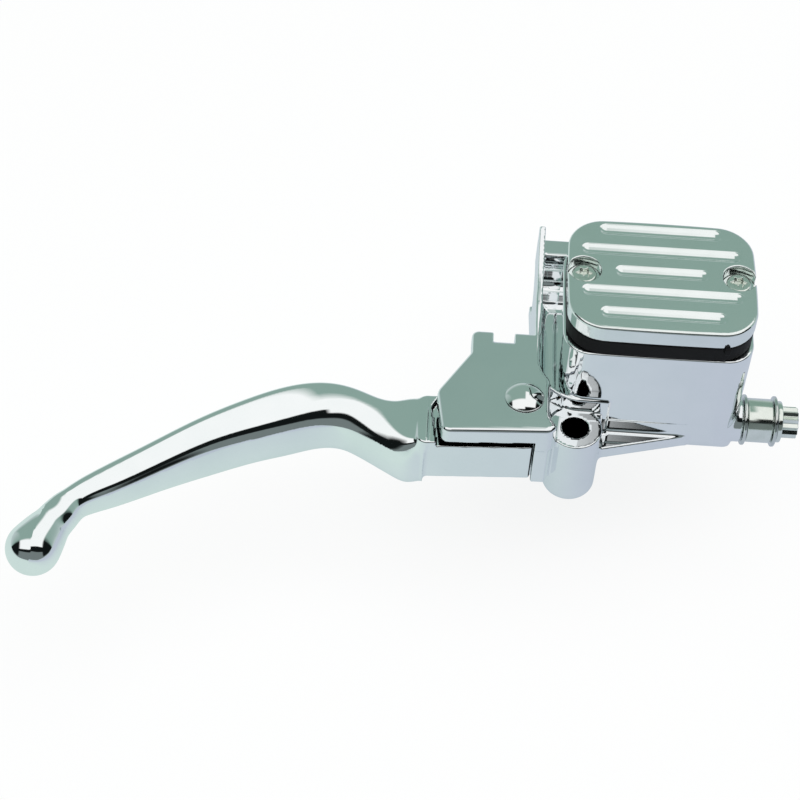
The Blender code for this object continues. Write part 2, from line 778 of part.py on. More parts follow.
def bore_cutters():
    """The stepped bore with its boot seat and ring groove, the ports and the outlet."""
    end = BORE_END
    groove = BORE_RADIUS + SNAP_RING_GROOVE
    boot = BORE_RADIUS + SNAP_RING_GROOVE / 2
    ring_low = BORE_MOUTH + BOOT_SEAT_DEPTH
    ring_high = RING_HIGH + FIT_GAP
    thread = BANJO_BOLT / 2 + FIT_GAP
    thread_end = PORT_FACE - BANJO_BOLT_GRIP - FIT_GAP
    profile = [
        (0.0, PORT_FACE + PAST),
        (thread, PORT_FACE + PAST),
        (thread, thread_end),
        (OUTLET_PORT / 2, thread_end),
        (OUTLET_PORT / 2, end),
        (BORE_RADIUS, end),
        (BORE_RADIUS, ring_high),
        (groove, ring_high),
        (groove, ring_low),
        (boot, ring_low),
        (boot, PIVOT_X),
        (0.0, PIVOT_X),
    ]
    top = RESERVOIR_FLOOR + PAST
    supply_x = (PISTON_HEAD + PISTON_END) / 2 + PISTON_LAND
    relief_x = PISTON_HEAD + CUP_LENGTH + SPRING_SEAT_THICKNESS
    return [
        turned("bore", profile, axis='X', at=(0.0, BORE_Y, BORE_Z)),
        rod("supply_port", SUPPLY_PORT / 2, (supply_x, BORE_Y, BORE_Z), (supply_x, BORE_Y, top), FEW),
        rod("relief_port", RELIEF_PORT / 2, (relief_x, BORE_Y, BORE_Z), (relief_x, BORE_Y, top), FEW),
    ]


def lever_space():
    """The slot between the ears, the round clearance for the eye and the room for the lever's nose."""
    left = PIVOT_X - EAR_LEFT - PAST
    front = PIVOT_Y - EAR_FRONT_LEFT - PAST
    back = EAR_REAR + PAST
    eye = LEVER_EYE / 2 + RUNNING_GAP
    side = BORE_RADIUS + SNAP_RING_GROOVE
    nose_low = (PIVOT_X, PIVOT_Y, BORE_Z - side)
    nose_high = (BORE_MOUTH, BORE_Y + side, BORE_Z + side)
    return [
        block("lever_slot", (left, front, SLOT_LOW), (SLOT_END, back, SLOT_HIGH)),
        rod("eye_space", eye, (PIVOT_X, PIVOT_Y, SLOT_LOW), (PIVOT_X, PIVOT_Y, SLOT_HIGH)),
        block("nose_space", nose_low, nose_high),
    ]


def bracket_holes():
    """The pivot pin's hole, the notch for the switch housing and the mirror's hole."""
    pin = PIN_DIAMETER / 2 + FIT_GAP
    notch_x = PIVOT_X - NOTCH_OFFSET
    above = EAR_HIGH + PAST
    return [
        rod("pin_hole", pin, (PIVOT_X, PIVOT_Y, EAR_LOW - PAST), (PIVOT_X, PIVOT_Y, above), COARSE),
        block(
            "switch_notch",
            (notch_x - NOTCH_WIDTH / 2, EAR_REAR - NOTCH_DEPTH, SLOT_HIGH - PAST),
            (notch_x + NOTCH_WIDTH / 2, EAR_REAR + PAST, above),
        ),
        rod(
            "mirror_hole",
            MIRROR_HOLE / 2,
            (MIRROR_X, MIRROR_Y, MIRROR_LOW - PAST),
            (MIRROR_X, MIRROR_Y, above),
        ),
    ]


def clamp_holes(low, high):
    """The handlebar's bore and the two bolt holes, between two places along Y."""
    radius = CLAMP_BOLT_DIAMETER / 2 + FIT_GAP
    left = FLANGE_LEFT - PAST
    right = CLAMP_WIDTH / 2 + PAST
    holes = [rod("bar_bore", BAR_RADIUS, (left, 0.0, 0.0), (right, 0.0, 0.0), FINE)]
    for z in (CLAMP_BOLT_Z, -CLAMP_BOLT_Z):
        holes.append(rod("clamp_bolt_hole", radius, (0.0, low, z), (0.0, high, z), COARSE))
    return holes


def screw_places():
    return [(RESERVOIR_X + side * SCREW_REACH, PATTERN_Y) for side in (-1, 1)]


def screw_bosses():
    floor = RESERVOIR_FLOOR - RESERVOIR_WALL / 2
    return [
        rod("screw_boss", SCREW_BOSS / 2, (x, y, floor), (x, y, RESERVOIR_RIM), COARSE)
        for x, y in screw_places()
    ]


def screw_holes():
    radius = SCREW_DIAMETER / 2 + FIT_GAP
    low = SCREW_SEAT - SCREW_LENGTH - FIT_GAP
    return [
        rod("screw_hole", radius, (x, y, low), (x, y, RESERVOIR_RIM + PAST), COARSE)
        for x, y in screw_places()
    ]


def glass_bores():
    step = GLASS_FACE - GLASS_THICKNESS - GLASS_SEAL_THICKNESS - 3 * FIT_GAP
    wide = GLASS_DIAMETER / 2 + FIT_GAP
    narrow = GLASS_DIAMETER / 2 - GLASS_LIP
    inside = RESERVOIR_REAR - RESERVOIR_WALL - PAST
    return [
        rod("glass_bore", wide, (GLASS_X, step, GLASS_Z), (GLASS_X, PAST, GLASS_Z)),
        rod("glass_window", narrow, (GLASS_X, inside, GLASS_Z), (GLASS_X, PAST, GLASS_Z)),
    ]


def lower_ear():
    """The lower ear and the floor behind it, which closes the room for the lever's nose."""
    radius = LOWER_EAR_RADIUS
    outline = arc((PIVOT_X, PIVOT_Y), radius, 90, 270, 2 * CORNER_STEPS)
    outline += [
        (MIRROR_X, PIVOT_Y - radius),
        (MIRROR_X + MIRROR_BOSS / 2 - FIT_GAP, BORE_Y),
        (RESERVOIR_LEFT + RESERVOIR_CORNER, BORE_Y + BARREL_RADIUS),
        (FLANGE_LEFT + FIT_GAP, BORE_Y + BARREL_RADIUS),
    ]
    return slab("lower_ear", outline, EAR_LOW, 0.0)


def build_housing():
    """The chromed casting."""
    housing = cut(reservoir_block(), "relief", barrel_relief())
    housing.name = "housing"
    port_start = RESERVOIR_RIGHT - RESERVOIR_CORNER
    mirror = rod(
        "mirror_boss",
        MIRROR_BOSS / 2,
        (MIRROR_X, MIRROR_Y, MIRROR_SEAT),
        (MIRROR_X, MIRROR_Y, MIRROR_LOW),
        FINE,
        edge=MIRROR_BOSS_ROUND,
    )
    port = rod("port_boss", PORT_BOSS / 2, (port_start, BORE_Y, BORE_Z), (PORT_FACE, BORE_Y, BORE_Z))
    forms = [flange_plate(), bracket(), lower_ear(), mirror, web_plate(), glass_boss(), port]
    join(housing, "casting", saddle_blocks() + forms)
    cavity = slab(
        "cavity", reservoir_outline(RESERVOIR_WALL, CAVITY_CORNER), RESERVOIR_FLOOR, RESERVOIR_RIM + PAST
    )
    cut(housing, "cavity", [cavity])
    join(housing, "screw_bosses", screw_bosses())
    holes = bore_cutters() + lever_space() + bracket_holes() + screw_holes() + glass_bores()
    holes += clamp_holes(SADDLE_FACE - CLAMP_BOLT_DEPTH - FIT_GAP, PAST)
    cut(housing, "holes", holes)
    return place(housing, "chrome")


def build_clamp():
    """The rear half of the handlebar clamp with its bolts and washers."""
    outer = BAR_RADIUS + CLAMP_WALL
    seat = CLAMP_FACE + CLAMP_EAR
    reach = math.degrees(math.asin(seat / outer))
    profile = [(CLAMP_FACE, -CLAMP_TOP), (seat, -CLAMP_TOP)]
    profile += arc((0.0, 0.0), outer, reach - 90, 90 - reach, 2 * CORNER_STEPS)
    profile += [(seat, CLAMP_TOP), (CLAMP_FACE, CLAMP_TOP)]
    clamp = slab("handlebar_clamp", profile, -CLAMP_WIDTH / 2, CLAMP_WIDTH / 2, axis='X')
    spot = CLAMP_WASHER_DIAMETER / 2 + RUNNING_GAP
    spotfaces = [
        rod("clamp_spotface", spot, (0.0, seat, z), (0.0, outer + PAST, z))
        for z in (CLAMP_BOLT_Z, -CLAMP_BOLT_Z)
    ]
    cut(clamp, "holes", clamp_holes(CLAMP_FACE - PAST, seat + PAST) + spotfaces)
    place(clamp, "chrome")
    for name, z in (("upper", CLAMP_BOLT_Z), ("lower", -CLAMP_BOLT_Z)):
        low = seat + FIT_GAP
        head = low + CLAMP_WASHER_THICKNESS + FIT_GAP
        bore = CLAMP_BOLT_DIAMETER / 2 + FIT_GAP
        washer = tube_profile(bore, CLAMP_WASHER_DIAMETER / 2, low, low + CLAMP_WASHER_THICKNESS)
        place(turned(f"clamp_washer_{name}", washer, 'Y', (0.0, 0.0, z), ring=True), "steel")
        top = head + CLAMP_BOLT_HEAD_HEIGHT
        button = arc((0.0, head), CLAMP_BOLT_HEAD / 2, BUTTON_SWEEP, 0, CORNER_STEPS)
        flat = button[0][1] - head
        button = [(r, head + (h - head) * CLAMP_BOLT_HEAD_HEIGHT / flat) for r, h in button]
        bolt = turned(f"clamp_bolt_{name}", [(0.0, top)] + button + [
            (CLAMP_BOLT_DIAMETER / 2, head),
            (CLAMP_BOLT_DIAMETER / 2, SADDLE_FACE - CLAMP_BOLT_DEPTH),
            (0.0, SADDLE_FACE - CLAMP_BOLT_DEPTH),
        ], 'Y', (0.0, 0.0, z))
        socket = rod(
            f"clamp_socket_{name}",
            CLAMP_BOLT_SOCKET / math.sqrt(3),
            (0.0, top - CLAMP_BOLT_SOCKET_DEPTH, z),
            (0.0, top + PAST, z),
            HEXAGON,
        )
        place(cut(bolt, "socket", [socket]), "zinc")


def build_cover():
    """The cover with its milled grooves, and the two screws that hold it."""
    cover = slab("reservoir_cover", cover_outline(0.0), COVER_LOW, COVER_HIGH, edge=COVER_EDGE)
    cutters = [slab("cover_recess", bellows_outline(0.0), COVER_LOW - PAST, COVER_LOW + COVER_RECESS)]
    lift = math.sqrt(GROOVE_RADIUS ** 2 - (GROOVE_WIDTH / 2) ** 2)
    for i, margin in enumerate(GROOVE_END_MARGINS):
        y = PATTERN_Y + (i - (len(GROOVE_END_MARGINS) - 1) / 2) * GROOVE_PITCH
        reach = COVER_LENGTH / 2 - margin - GROOVE_WIDTH / 2
        cutters.append(capsule(
            "groove",
            GROOVE_RADIUS,
            (RESERVOIR_X - reach, y, COVER_HIGH + lift),
            (RESERVOIR_X + reach, y, COVER_HIGH + lift),
        ))
    shank = SCREW_DIAMETER / 2 + FIT_GAP
    for x, y in screw_places():
        cutters.append(rod("screw_well", SCREW_WELL / 2, (x, y, SCREW_SEAT), (x, y, COVER_HIGH + PAST)))
        cutters.append(rod("screw_way", shank, (x, y, COVER_LOW - PAST), (x, y, COVER_HIGH), COARSE))
    place(cut(cover, "milling", cutters), "chrome")
    for name, (x, y) in zip(("left", "right"), screw_places()):
        build_cover_screw(f"cover_screw_{name}", x, y)


def star(points, outer, inner):
    """A star outline with a corner at each point and a notch between."""
    outline = []
    for i in range(2 * points):
        radius = inner if i % 2 else outer
        angle = math.pi * i / points
        outline.append((radius * math.cos(angle), radius * math.sin(angle)))
    return outline


def build_cover_screw(name, x, y):
    low = SCREW_SEAT + FIT_GAP
    top = low + SCREW_HEAD_HEIGHT
    screw = turned(name, [
        (0.0, top),
        (SCREW_HEAD / 2 - SCREW_CHAMFER, top),
        (SCREW_HEAD / 2, top - SCREW_CHAMFER),
        (SCREW_HEAD / 2, low),
        (SCREW_DIAMETER / 2, low),
        (SCREW_DIAMETER / 2, SCREW_SEAT - SCREW_LENGTH),
        (0.0, SCREW_SEAT - SCREW_LENGTH),
    ], 'Z', (x, y, 0.0))
    recess = slab(
        f"{name}_recess",
        moved(star(STAR_POINTS, STAR_RECESS / 2, STAR_RECESS / 3), x, y),
        top - STAR_RECESS_DEPTH,
        top + PAST,
    )
    return place(cut(screw, "recess", [recess]), "zinc")


def build_gasket():
    """The rubber gasket, with the bellows that follows the fluid down."""
    gasket = slab("cover_gasket", cover_outline(GASKET_INSET), GASKET_LOW, GASKET_HIGH)
    floor = GASKET_LOW - BELLOWS_DROP
    tub = slab("bellows_tub", bellows_outline(0.0), floor, GASKET_LOW + GASKET_THICKNESS / 2)
    join(gasket, "tub", [tub])
    hollow = bellows_outline(BELLOWS_WALL)
    cutters = [slab("bellows_hollow", hollow, floor + BELLOWS_WALL, GASKET_HIGH + PAST)]
    shank = SCREW_DIAMETER / 2 + FIT_GAP
    for x, y in screw_places():
        cutters.append(
            rod("gasket_way", shank, (x, y, GASKET_LOW - PAST), (x, y, GASKET_HIGH + PAST), COARSE)
        )
    return place(cut(gasket, "hollow", cutters), "rubber")


def build_glass():
    """The fluid window and the flat seal behind it."""
    high = GLASS_FACE - FIT_GAP
    low = high - GLASS_THICKNESS
    at = (GLASS_X, 0.0, GLASS_Z)
    radius = GLASS_DIAMETER / 2
    glass = [(0.0, high), (radius, high), (radius, low), (0.0, low)]
    place(turned("sight_glass", glass, 'Y', at), "glass")
    seal_high = low - FIT_GAP
    seal = tube_profile(radius - GLASS_LIP, radius, seal_high - GLASS_SEAL_THICKNESS, seal_high)
    place(turned("sight_glass_seal", seal, 'Y', at, ring=True), "rubber")


def build_pivot():
    """The pivot pin with its domed head, and the clip that keeps it in."""
    at = (PIVOT_X, PIVOT_Y, 0.0)
    radius = PIN_DIAMETER / 2
    head = PIN_HEAD / 2
    tail = EAR_LOW - PIN_TAIL
    clip_high = EAR_LOW - FIT_GAP
    clip_low = clip_high - CLIP_THICKNESS
    groove = radius - CLIP_GROOVE
    rise = PIN_HEAD_HEIGHT - FIT_GAP
    dome = (head ** 2 + rise ** 2) / (2 * rise)
    spread = math.degrees(math.asin(head / dome))
    seat = EAR_HIGH + FIT_GAP
    cap = arc((0.0, seat + rise - dome), dome, 90, 90 - spread, CORNER_STEPS)
    cap[0] = (0.0, cap[0][1])
    pin = turned("pivot_pin", cap + [
        (radius, seat),
        (radius, clip_high + FIT_GAP / 2),
        (groove, clip_high + FIT_GAP / 2),
        (groove, clip_low - FIT_GAP),
        (radius, clip_low - FIT_GAP),
        (radius - PIN_CHAMFER, tail),
        (0.0, tail),
    ], 'Z', at, MEDIUM)
    place(pin, "chrome")
    clip_profile = tube_profile(groove + FIT_GAP, CLIP_DIAMETER / 2, clip_low, clip_high)
    clip = turned("pivot_retaining_ring", clip_profile, 'Z', at, ring=True)
    opening = block(
        "clip_opening",
        (PIVOT_X - CLIP_OPENING / 2, PIVOT_Y, clip_low - PAST),
        (PIVOT_X + CLIP_OPENING / 2, PIVOT_Y + CLIP_DIAMETER, clip_high + PAST),
    )
    place(cut(clip, "opening", [opening]), "spring_steel")


def lever_section(width, height, bulge):
    """Across and up in one lever section: a flat top with a crisp front edge and a full front face."""
    top = LEVER_HEIGHT / 2
    front = width / 2
    return [
        (front, top),
        (front + 0.50 * bulge, top - 0.25 * height),
        (front + 0.90 * bulge, top - 0.55 * height),
        (front + bulge, top - 0.75 * height),
        (front + 0.75 * bulge, top - 0.93 * height),
        (0.20 * width, top - height),
        (-0.20 * width, top - height),
        (-0.44 * width, top - 0.90 * height),
        (-0.50 * width, top - 0.62 * height),
        (-0.50 * width, top - 0.20 * height),
        (-0.42 * width, top - 0.05 * height),
        (-0.26 * width, top),
    ]


def lever_blade():
    """The blade, lofted through the stations from the base to the ball."""
    bm = bmesh.new()
    rings = []
    places = [
        Vector((-BLADE_START - BLADE_RUN * along, -BLADE_SWEEP * forward))
        for along, forward, _, _, _ in LEVER_STATIONS
    ]
    for i, (_, _, width, height, bulge) in enumerate(LEVER_STATIONS):
        section = lever_section(
            LEVER_BLADE_WIDTH * width, LEVER_BLADE_HEIGHT * height, LEVER_BLADE_BULGE * bulge
        )
        ahead = places[min(i + 1, len(places) - 1)] - places[max(i - 1, 0)]
        along = ahead.normalized()
        front = Vector((-along.y, along.x))
        ring = []
        for across, up in section:
            point = places[i] + front * across
            ring.append(bm.verts.new((point.x, point.y, up)))
        rings.append(ring)
    for near, far in zip(rings, rings[1:]):
        count = len(near)
        for k in range(count):
            bm.faces.new((near[k], near[(k + 1) % count], far[(k + 1) % count], far[k]))
    bm.faces.new(rings[0])
    bm.faces.new(rings[-1])
    return from_bmesh("lever_blade", bm)


def lever_base():
    """The flat base that runs in the slot, from the blade to the heel beside the mirror seat."""
    front_left = EAR_FRONT_LEFT - LEVER_FACE_SET_BACK
    front_right = EAR_FRONT - LEVER_FACE_SET_BACK
    half = LEVER_HEIGHT / 2
    outline = rounded([
        (-LEVER_BASE_REACH, -front_left, LEVER_BASE_ROUND),
        (LEVER_HEEL, -front_right, LEVER_HEEL_ROUND),
        (LEVER_HEEL, 0.0, 0),
        (0.0, LEVER_SHOULDER, 0),
        (-LEVER_NOSE / 2, LEVER_SHOULDER, LEVER_BASE_ROUND),
        (-LEVER_BASE_REACH, LEVER_BASE_BACK, LEVER_BASE_ROUND),
    ])
    return slab("lever_base", outline, -half, half)


def lever_nose():
    """The arm behind the pivot whose round end pushes the piston."""
    radius = LEVER_NOSE / 2
    low = BORE_Z - BORE_RADIUS
    high = BORE_Z + BORE_RADIUS
    outline = arc((0.0, PIVOT_ARM), radius, 0, 180, 2 * CORNER_STEPS) + [(-radius, 0.0), (radius, 0.0)]
    return slab("lever_nose", outline, low, high)


def build_lever():
    """The lever with the bush in its eye, both on the pivot axis."""
    pivot = anchor("lever_pivot_axis", PIVOT)
    half = LEVER_HEIGHT / 2
    lever = lever_blade()
    lever.name = "brake_lever"
    bm = bmesh.new()
    bmesh.ops.create_uvsphere(
        bm,
        u_segments=MEDIUM,
        v_segments=MEDIUM // 2,
        radius=LEVER_BALL / 2,
        matrix=Matrix.Translation((-LEVER_BALL_REACH, -LEVER_BALL_FORWARD, 0.0)),
    )
    ball = from_bmesh("lever_ball", bm)
    eye = rod("lever_eye", LEVER_EYE / 2, (0.0, 0.0, -half), (0.0, 0.0, half))
    bush_outer = PIN_DIAMETER / 2 + FIT_GAP + BUSHING_WALL
    bore = rod(
        "lever_bore", bush_outer + FIT_GAP, (0.0, 0.0, -LEVER_HEIGHT), (0.0, 0.0, LEVER_HEIGHT)
    )
    solids = [ball, lever_base(), eye, lever_nose()]
    for obj in solids + [bore]:
        obj.parent = pivot
    join(lever, "forging", solids)
    cut(lever, "bore", [bore])
    place(lever, "chrome", pivot)
    bush_profile = tube_profile(PIN_DIAMETER / 2 + FIT_GAP, bush_outer, -half, half)
    place(turned("pivot_bushing", bush_profile, ring=True), "bronze", pivot)


def build_piston():
    """The piston with its cups and spring seat, all sliding along the bore."""
    slide = anchor("piston_axis", (0.0, BORE_Y, BORE_Z))
    land = BORE_RADIUS - FIT_GAP
    stem = PISTON_STEM / 2
    waist = PISTON_WAIST / 2
    shoulder = RING_HIGH + FIT_GAP
    seal_low = shoulder + PISTON_LAND
    seal_high = seal_low + CUP_LENGTH
    nose = PISTON_HEAD + CUP_LENGTH
    boot_groove = PISTON_END + PISTON_LAND
    piston = turned("piston", [
        (0.0, nose),
        (CUP_SEAT / 2, nose),
        (CUP_SEAT / 2, PISTON_HEAD),
        (land, PISTON_HEAD),
        (land, PISTON_HEAD - PISTON_LAND),
        (waist, PISTON_HEAD - PISTON_LAND),
        (waist, seal_high + PISTON_LAND),
        (land, seal_high + PISTON_LAND),
        (land, seal_high),
        (waist, seal_high),
        (waist, seal_low),
        (land, seal_low),
        (land, shoulder),
        (stem, shoulder),
        (stem, boot_groove + 2 * BOOT_WALL),
        (stem - BOOT_WALL, boot_groove + 2 * BOOT_WALL),
        (stem - BOOT_WALL, boot_groove),
        (stem, boot_groove),
        (stem, PISTON_END + PISTON_CHAMFER),
        (stem - PISTON_CHAMFER, PISTON_END),
        (0.0, PISTON_END),
    ], 'X')
    place(piston, "aluminium", slide)
    build_cup("primary_cup", CUP_SEAT / 2 + FIT_GAP, PISTON_HEAD + FIT_GAP, nose, slide)
    build_cup("secondary_cup", waist + FIT_GAP, seal_low + FIT_GAP, seal_high - FIT_GAP, slide)
    seat_low = nose + FIT_GAP
    seat_high = seat_low + SPRING_SEAT_THICKNESS
    stub = BORE_RADIUS / 2 - FIT_GAP
    seat = turned("spring_seat", [
        (0.0, seat_high + SPRING_SEAT_STUB),
        (stub - PISTON_CHAMFER, seat_high + SPRING_SEAT_STUB),
        (stub, seat_high + SPRING_SEAT_STUB - PISTON_CHAMFER),
        (stub, seat_high),
        (land - FIT_GAP, seat_high),
        (land - FIT_GAP, seat_low),
        (0.0, seat_low),
    ], 'X')
    place(seat, "steel", slide)
    build_spring(seat_high + FIT_GAP, BORE_END - FIT_GAP)


def build_cup(name, inner, low, high, parent):
    """A rubber cup with a hollow lip that faces the fluid."""
    outer = BORE_RADIUS - FIT_GAP
    middle = (inner + outer) / 2
    profile = [
        (outer, high),
        (outer - FIT_GAP, low + CUP_LIP),
        (outer - FIT_GAP, low),
        (inner, low),
        (inner, high),
        (inner + CUP_EDGE, high),
        (middle, high - CUP_LIP),
        (outer - CUP_EDGE, high),
    ]
    return place(turned(name, profile, 'X', ring=True), "rubber", parent)


def build_spring(low, high):
    """The return spring, one unbroken wire that winds along the bore."""
    wire = SPRING_WIRE / 2
    radius = BORE_RADIUS - 4 * FIT_GAP - wire
    start = low + wire
    pitch = (high - low - SPRING_WIRE) / SPRING_TURNS
    count = SPRING_TURNS * SPRING_POINTS_PER_TURN
    points = []
    for k in range(count + 1):
        angle = 2 * math.pi * k / SPRING_POINTS_PER_TURN
        along = start + pitch * k / SPRING_POINTS_PER_TURN
        points.append(Vector((along, radius * math.cos(angle), radius * math.sin(angle))))
    gaps = [
        (points[i] - points[j]).length - SPRING_WIRE
        for i in range(count + 1)
        for j in range(i + SPRING_POINTS_PER_TURN // 2, count + 1)
    ]
    print(f"return spring: least gap to itself {min(gaps) * 1000:.2f} mm")
    curve = bpy.data.curves.new("return_spring_wire", 'CURVE')
    curve.dimensions = '3D'
    curve.bevel_depth = wire
    curve.bevel_resolution = 1
    curve.use_fill_caps = True
    spline = curve.splines.new('POLY')
    spline.points.add(count)
    for knot, point in zip(spline.points, points):
        knot.co = (*point, 1.0)
    wire_object = bpy.data.objects.new("return_spring_wire", curve)
    wire_object.location = (0.0, BORE_Y, BORE_Z)
    CUTTERS.objects.link(wire_object)
    bpy.context.view_layer.update()
    evaluated = wire_object.evaluated_get(bpy.context.evaluated_depsgraph_get())
    mesh = bpy.data.meshes.new_from_object(evaluated)
    bm = bmesh.new()
    bm.from_mesh(mesh)
    bmesh.ops.remove_doubles(bm, verts=bm.verts, dist=0.000001)
    bm.to_mesh(mesh)
    bm.free()
    spring = bpy.data.objects.new("return_spring", mesh)
    spring.matrix_world = wire_object.matrix_world
    bpy.data.objects.remove(wire_object)
    CUTTERS.objects.link(spring)
    return place(spring, "spring_steel")


def build_snap_ring():
    """The open ring that keeps the piston in its bore."""
    outer = BORE_RADIUS + SNAP_RING_GROOVE - FIT_GAP
    profile = tube_profile(outer - SNAP_RING_WIDTH, outer, RING_LOW, RING_HIGH)
    ring = turned("snap_ring", profile, 'X', (0.0, BORE_Y, BORE_Z), ring=True)
    opening = block(
        "snap_ring_opening",
        (RING_LOW - PAST, BORE_Y - SNAP_RING_OPENING / 2, BORE_Z),
        (RING_HIGH + PAST, BORE_Y + SNAP_RING_OPENING / 2, BORE_Z + BORE_DIAMETER),
    )
    return place(cut(ring, "opening", [opening]), "spring_steel")


def build_boot():
    """The rubber bellows from the mouth of the bore to the groove in the piston's stem."""
    stem = PISTON_STEM / 2 + FIT_GAP
    high = BORE_MOUTH + BOOT_SEAT_DEPTH - FIT_GAP
    low = PISTON_END + PISTON_LAND + FIT_GAP
    seat = BORE_RADIUS + SNAP_RING_GROOVE / 2 - FIT_GAP
    crest = BORE_RADIUS - BOOT_WALL / 2
    root = stem + BOOT_WALL
    mouth = BORE_MOUTH - FIT_GAP
    outer = [(seat, high), (seat, BORE_MOUTH + FIT_GAP), (crest - BOOT_WALL, mouth)]
    inner = [(stem, high)]
    pitch = (mouth - low - 2 * BOOT_WALL) / (2 * BOOT_FOLDS)
    for k in range(1, 2 * BOOT_FOLDS + 1):
        radius = root if k % 2 else crest
        outer.append((radius, mouth - pitch * k))
    outer += [(root, low + BOOT_WALL), (root, low)]
    for k in range(1, 2 * BOOT_FOLDS + 1):
        radius = root if k % 2 else crest
        inner.append((radius - BOOT_WALL, mouth - pitch * k))
    inner.append((stem - BOOT_WALL + FIT_GAP, low + BOOT_WALL))
    inner.append((stem - BOOT_WALL + FIT_GAP, low))
    profile = outer + inner[::-1]
    return place(turned("dust_boot", profile, 'X', (0.0, BORE_Y, BORE_Z), ring=True), "rubber")


def build_banjo():
    """The hose fitting: bolt, two washers and the sleeve that holds the hose eye's place."""
    at = (0.0, BORE_Y, BORE_Z)
    way = BANJO_BOLT / 2 + FIT_GAP
    low = PORT_FACE + FIT_GAP
    for name, outer, thickness, finish in (
        ("banjo_washer_inner", BANJO_WASHER / 2, BANJO_WASHER_THICKNESS, "steel"),
        ("banjo_spacer", BANJO_SPACER / 2, BANJO_SPACER_LENGTH, "zinc"),
        ("banjo_washer_outer", BANJO_WASHER / 2, BANJO_WASHER_THICKNESS, "steel"),
    ):
        profile = tube_profile(way, outer, low, low + thickness)
        place(turned(name, profile, 'X', at, MEDIUM, ring=True), finish)
        low += thickness + FIT_GAP
    flange_high = low + BANJO_FLANGE_THICKNESS
    tip = PORT_FACE - BANJO_BOLT_GRIP
    shank = BANJO_BOLT / 2
    bolt = turned("banjo_bolt", [
        (0.0, flange_high),
        (BANJO_FLANGE / 2 - BANJO_CHAMFER, flange_high),
        (BANJO_FLANGE / 2, flange_high - BANJO_CHAMFER),
        (BANJO_FLANGE / 2, low),
        (shank, low),
        (shank, tip + BANJO_CHAMFER),
        (shank - BANJO_CHAMFER, tip),
        (0.0, tip),
    ], 'X', at, MEDIUM)
    head_outline = star(BANJO_HEAD_POINTS, BANJO_HEAD / 2, BANJO_HEAD / 2 - BANJO_HEAD_NOTCH)
    head = slab(
        "banjo_head",
        moved(head_outline, BORE_Y, BORE_Z),
        flange_high - BANJO_FLANGE_THICKNESS / 2,
        flange_high + BANJO_HEAD_HEIGHT,
        axis='X',
    )
    middle = PORT_FACE + BANJO_WASHER_THICKNESS + BANJO_SPACER_LENGTH / 2
    passage = rod(
        "banjo_passage", BANJO_PASSAGE / 2, (tip - PAST, BORE_Y, BORE_Z), (middle, BORE_Y, BORE_Z), FEW
    )
    cross = rod(
        "banjo_cross_hole",
        BANJO_PASSAGE / 3,
        (middle - BANJO_PASSAGE / 2, BORE_Y, BORE_Z - BANJO_BOLT),
        (middle - BANJO_PASSAGE / 2, BORE_Y, BORE_Z + BANJO_BOLT),
        FEW,
    )
    join(bolt, "head", [head])
    place(cut(bolt, "passage", [passage, cross]), "zinc")


build_housing()
build_clamp()
build_cover()
build_gasket()
build_glass()
build_pivot()
build_lever()
build_piston()
build_snap_ring()
build_boot()
build_banjo()
bpy.context.view_layer.update()
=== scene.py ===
"""Looks of a chromed motorcycle front brake master cylinder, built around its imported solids.

Sizes are millimetres in the part's own frame: the handlebar runs along X, the rider sits at +Y and
the reservoir cover faces +Z. Castings are signed distances that are skinned, so that every edge is
rounded as a polished casting's is. Meshes are made in metres.
"""

import json
import logging
import math
from dataclasses import dataclass
from enum import Enum
from typing import Callable, Optional, Sequence, Union

import bmesh
import bpy
import numpy as np
from mathutils import Matrix, Vector

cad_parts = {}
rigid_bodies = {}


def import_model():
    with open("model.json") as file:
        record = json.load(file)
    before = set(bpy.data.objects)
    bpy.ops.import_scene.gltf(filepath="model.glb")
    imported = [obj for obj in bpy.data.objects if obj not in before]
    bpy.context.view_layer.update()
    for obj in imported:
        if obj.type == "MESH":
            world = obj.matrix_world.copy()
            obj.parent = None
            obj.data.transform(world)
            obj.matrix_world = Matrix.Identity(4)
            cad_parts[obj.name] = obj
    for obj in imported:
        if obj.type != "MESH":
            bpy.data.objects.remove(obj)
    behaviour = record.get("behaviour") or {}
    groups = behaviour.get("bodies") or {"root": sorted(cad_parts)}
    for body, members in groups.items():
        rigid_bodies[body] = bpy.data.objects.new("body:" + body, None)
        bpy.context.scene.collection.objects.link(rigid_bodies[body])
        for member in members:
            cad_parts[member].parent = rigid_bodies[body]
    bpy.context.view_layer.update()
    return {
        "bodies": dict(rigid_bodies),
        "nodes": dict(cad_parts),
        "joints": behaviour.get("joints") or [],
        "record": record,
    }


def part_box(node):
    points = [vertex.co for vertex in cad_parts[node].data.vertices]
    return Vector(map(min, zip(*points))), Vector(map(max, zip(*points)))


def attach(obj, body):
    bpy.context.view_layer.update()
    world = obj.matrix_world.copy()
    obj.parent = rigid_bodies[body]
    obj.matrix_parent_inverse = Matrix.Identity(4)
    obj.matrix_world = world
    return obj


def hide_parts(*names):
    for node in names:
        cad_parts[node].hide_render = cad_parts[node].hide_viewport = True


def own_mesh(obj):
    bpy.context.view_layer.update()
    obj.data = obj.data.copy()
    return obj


LOG = logging.getLogger("brake_master_cylinder")
MM = 0.001
Place = tuple[float, float]
Span = tuple[float, float]
Outline = Sequence[Place]
Corner = tuple[float, float, float]
Point = tuple[float, float, float]
Distance = Callable[[np.ndarray, np.ndarray, np.ndarray], np.ndarray]
Colour = tuple[float, float, float]
Operand = Union[bpy.types.NodeSocket, float, Colour]
MIX_FIRST, MIX_SECOND, MIX_RESULT = 6, 7, 2  # a Mix node's colour sockets

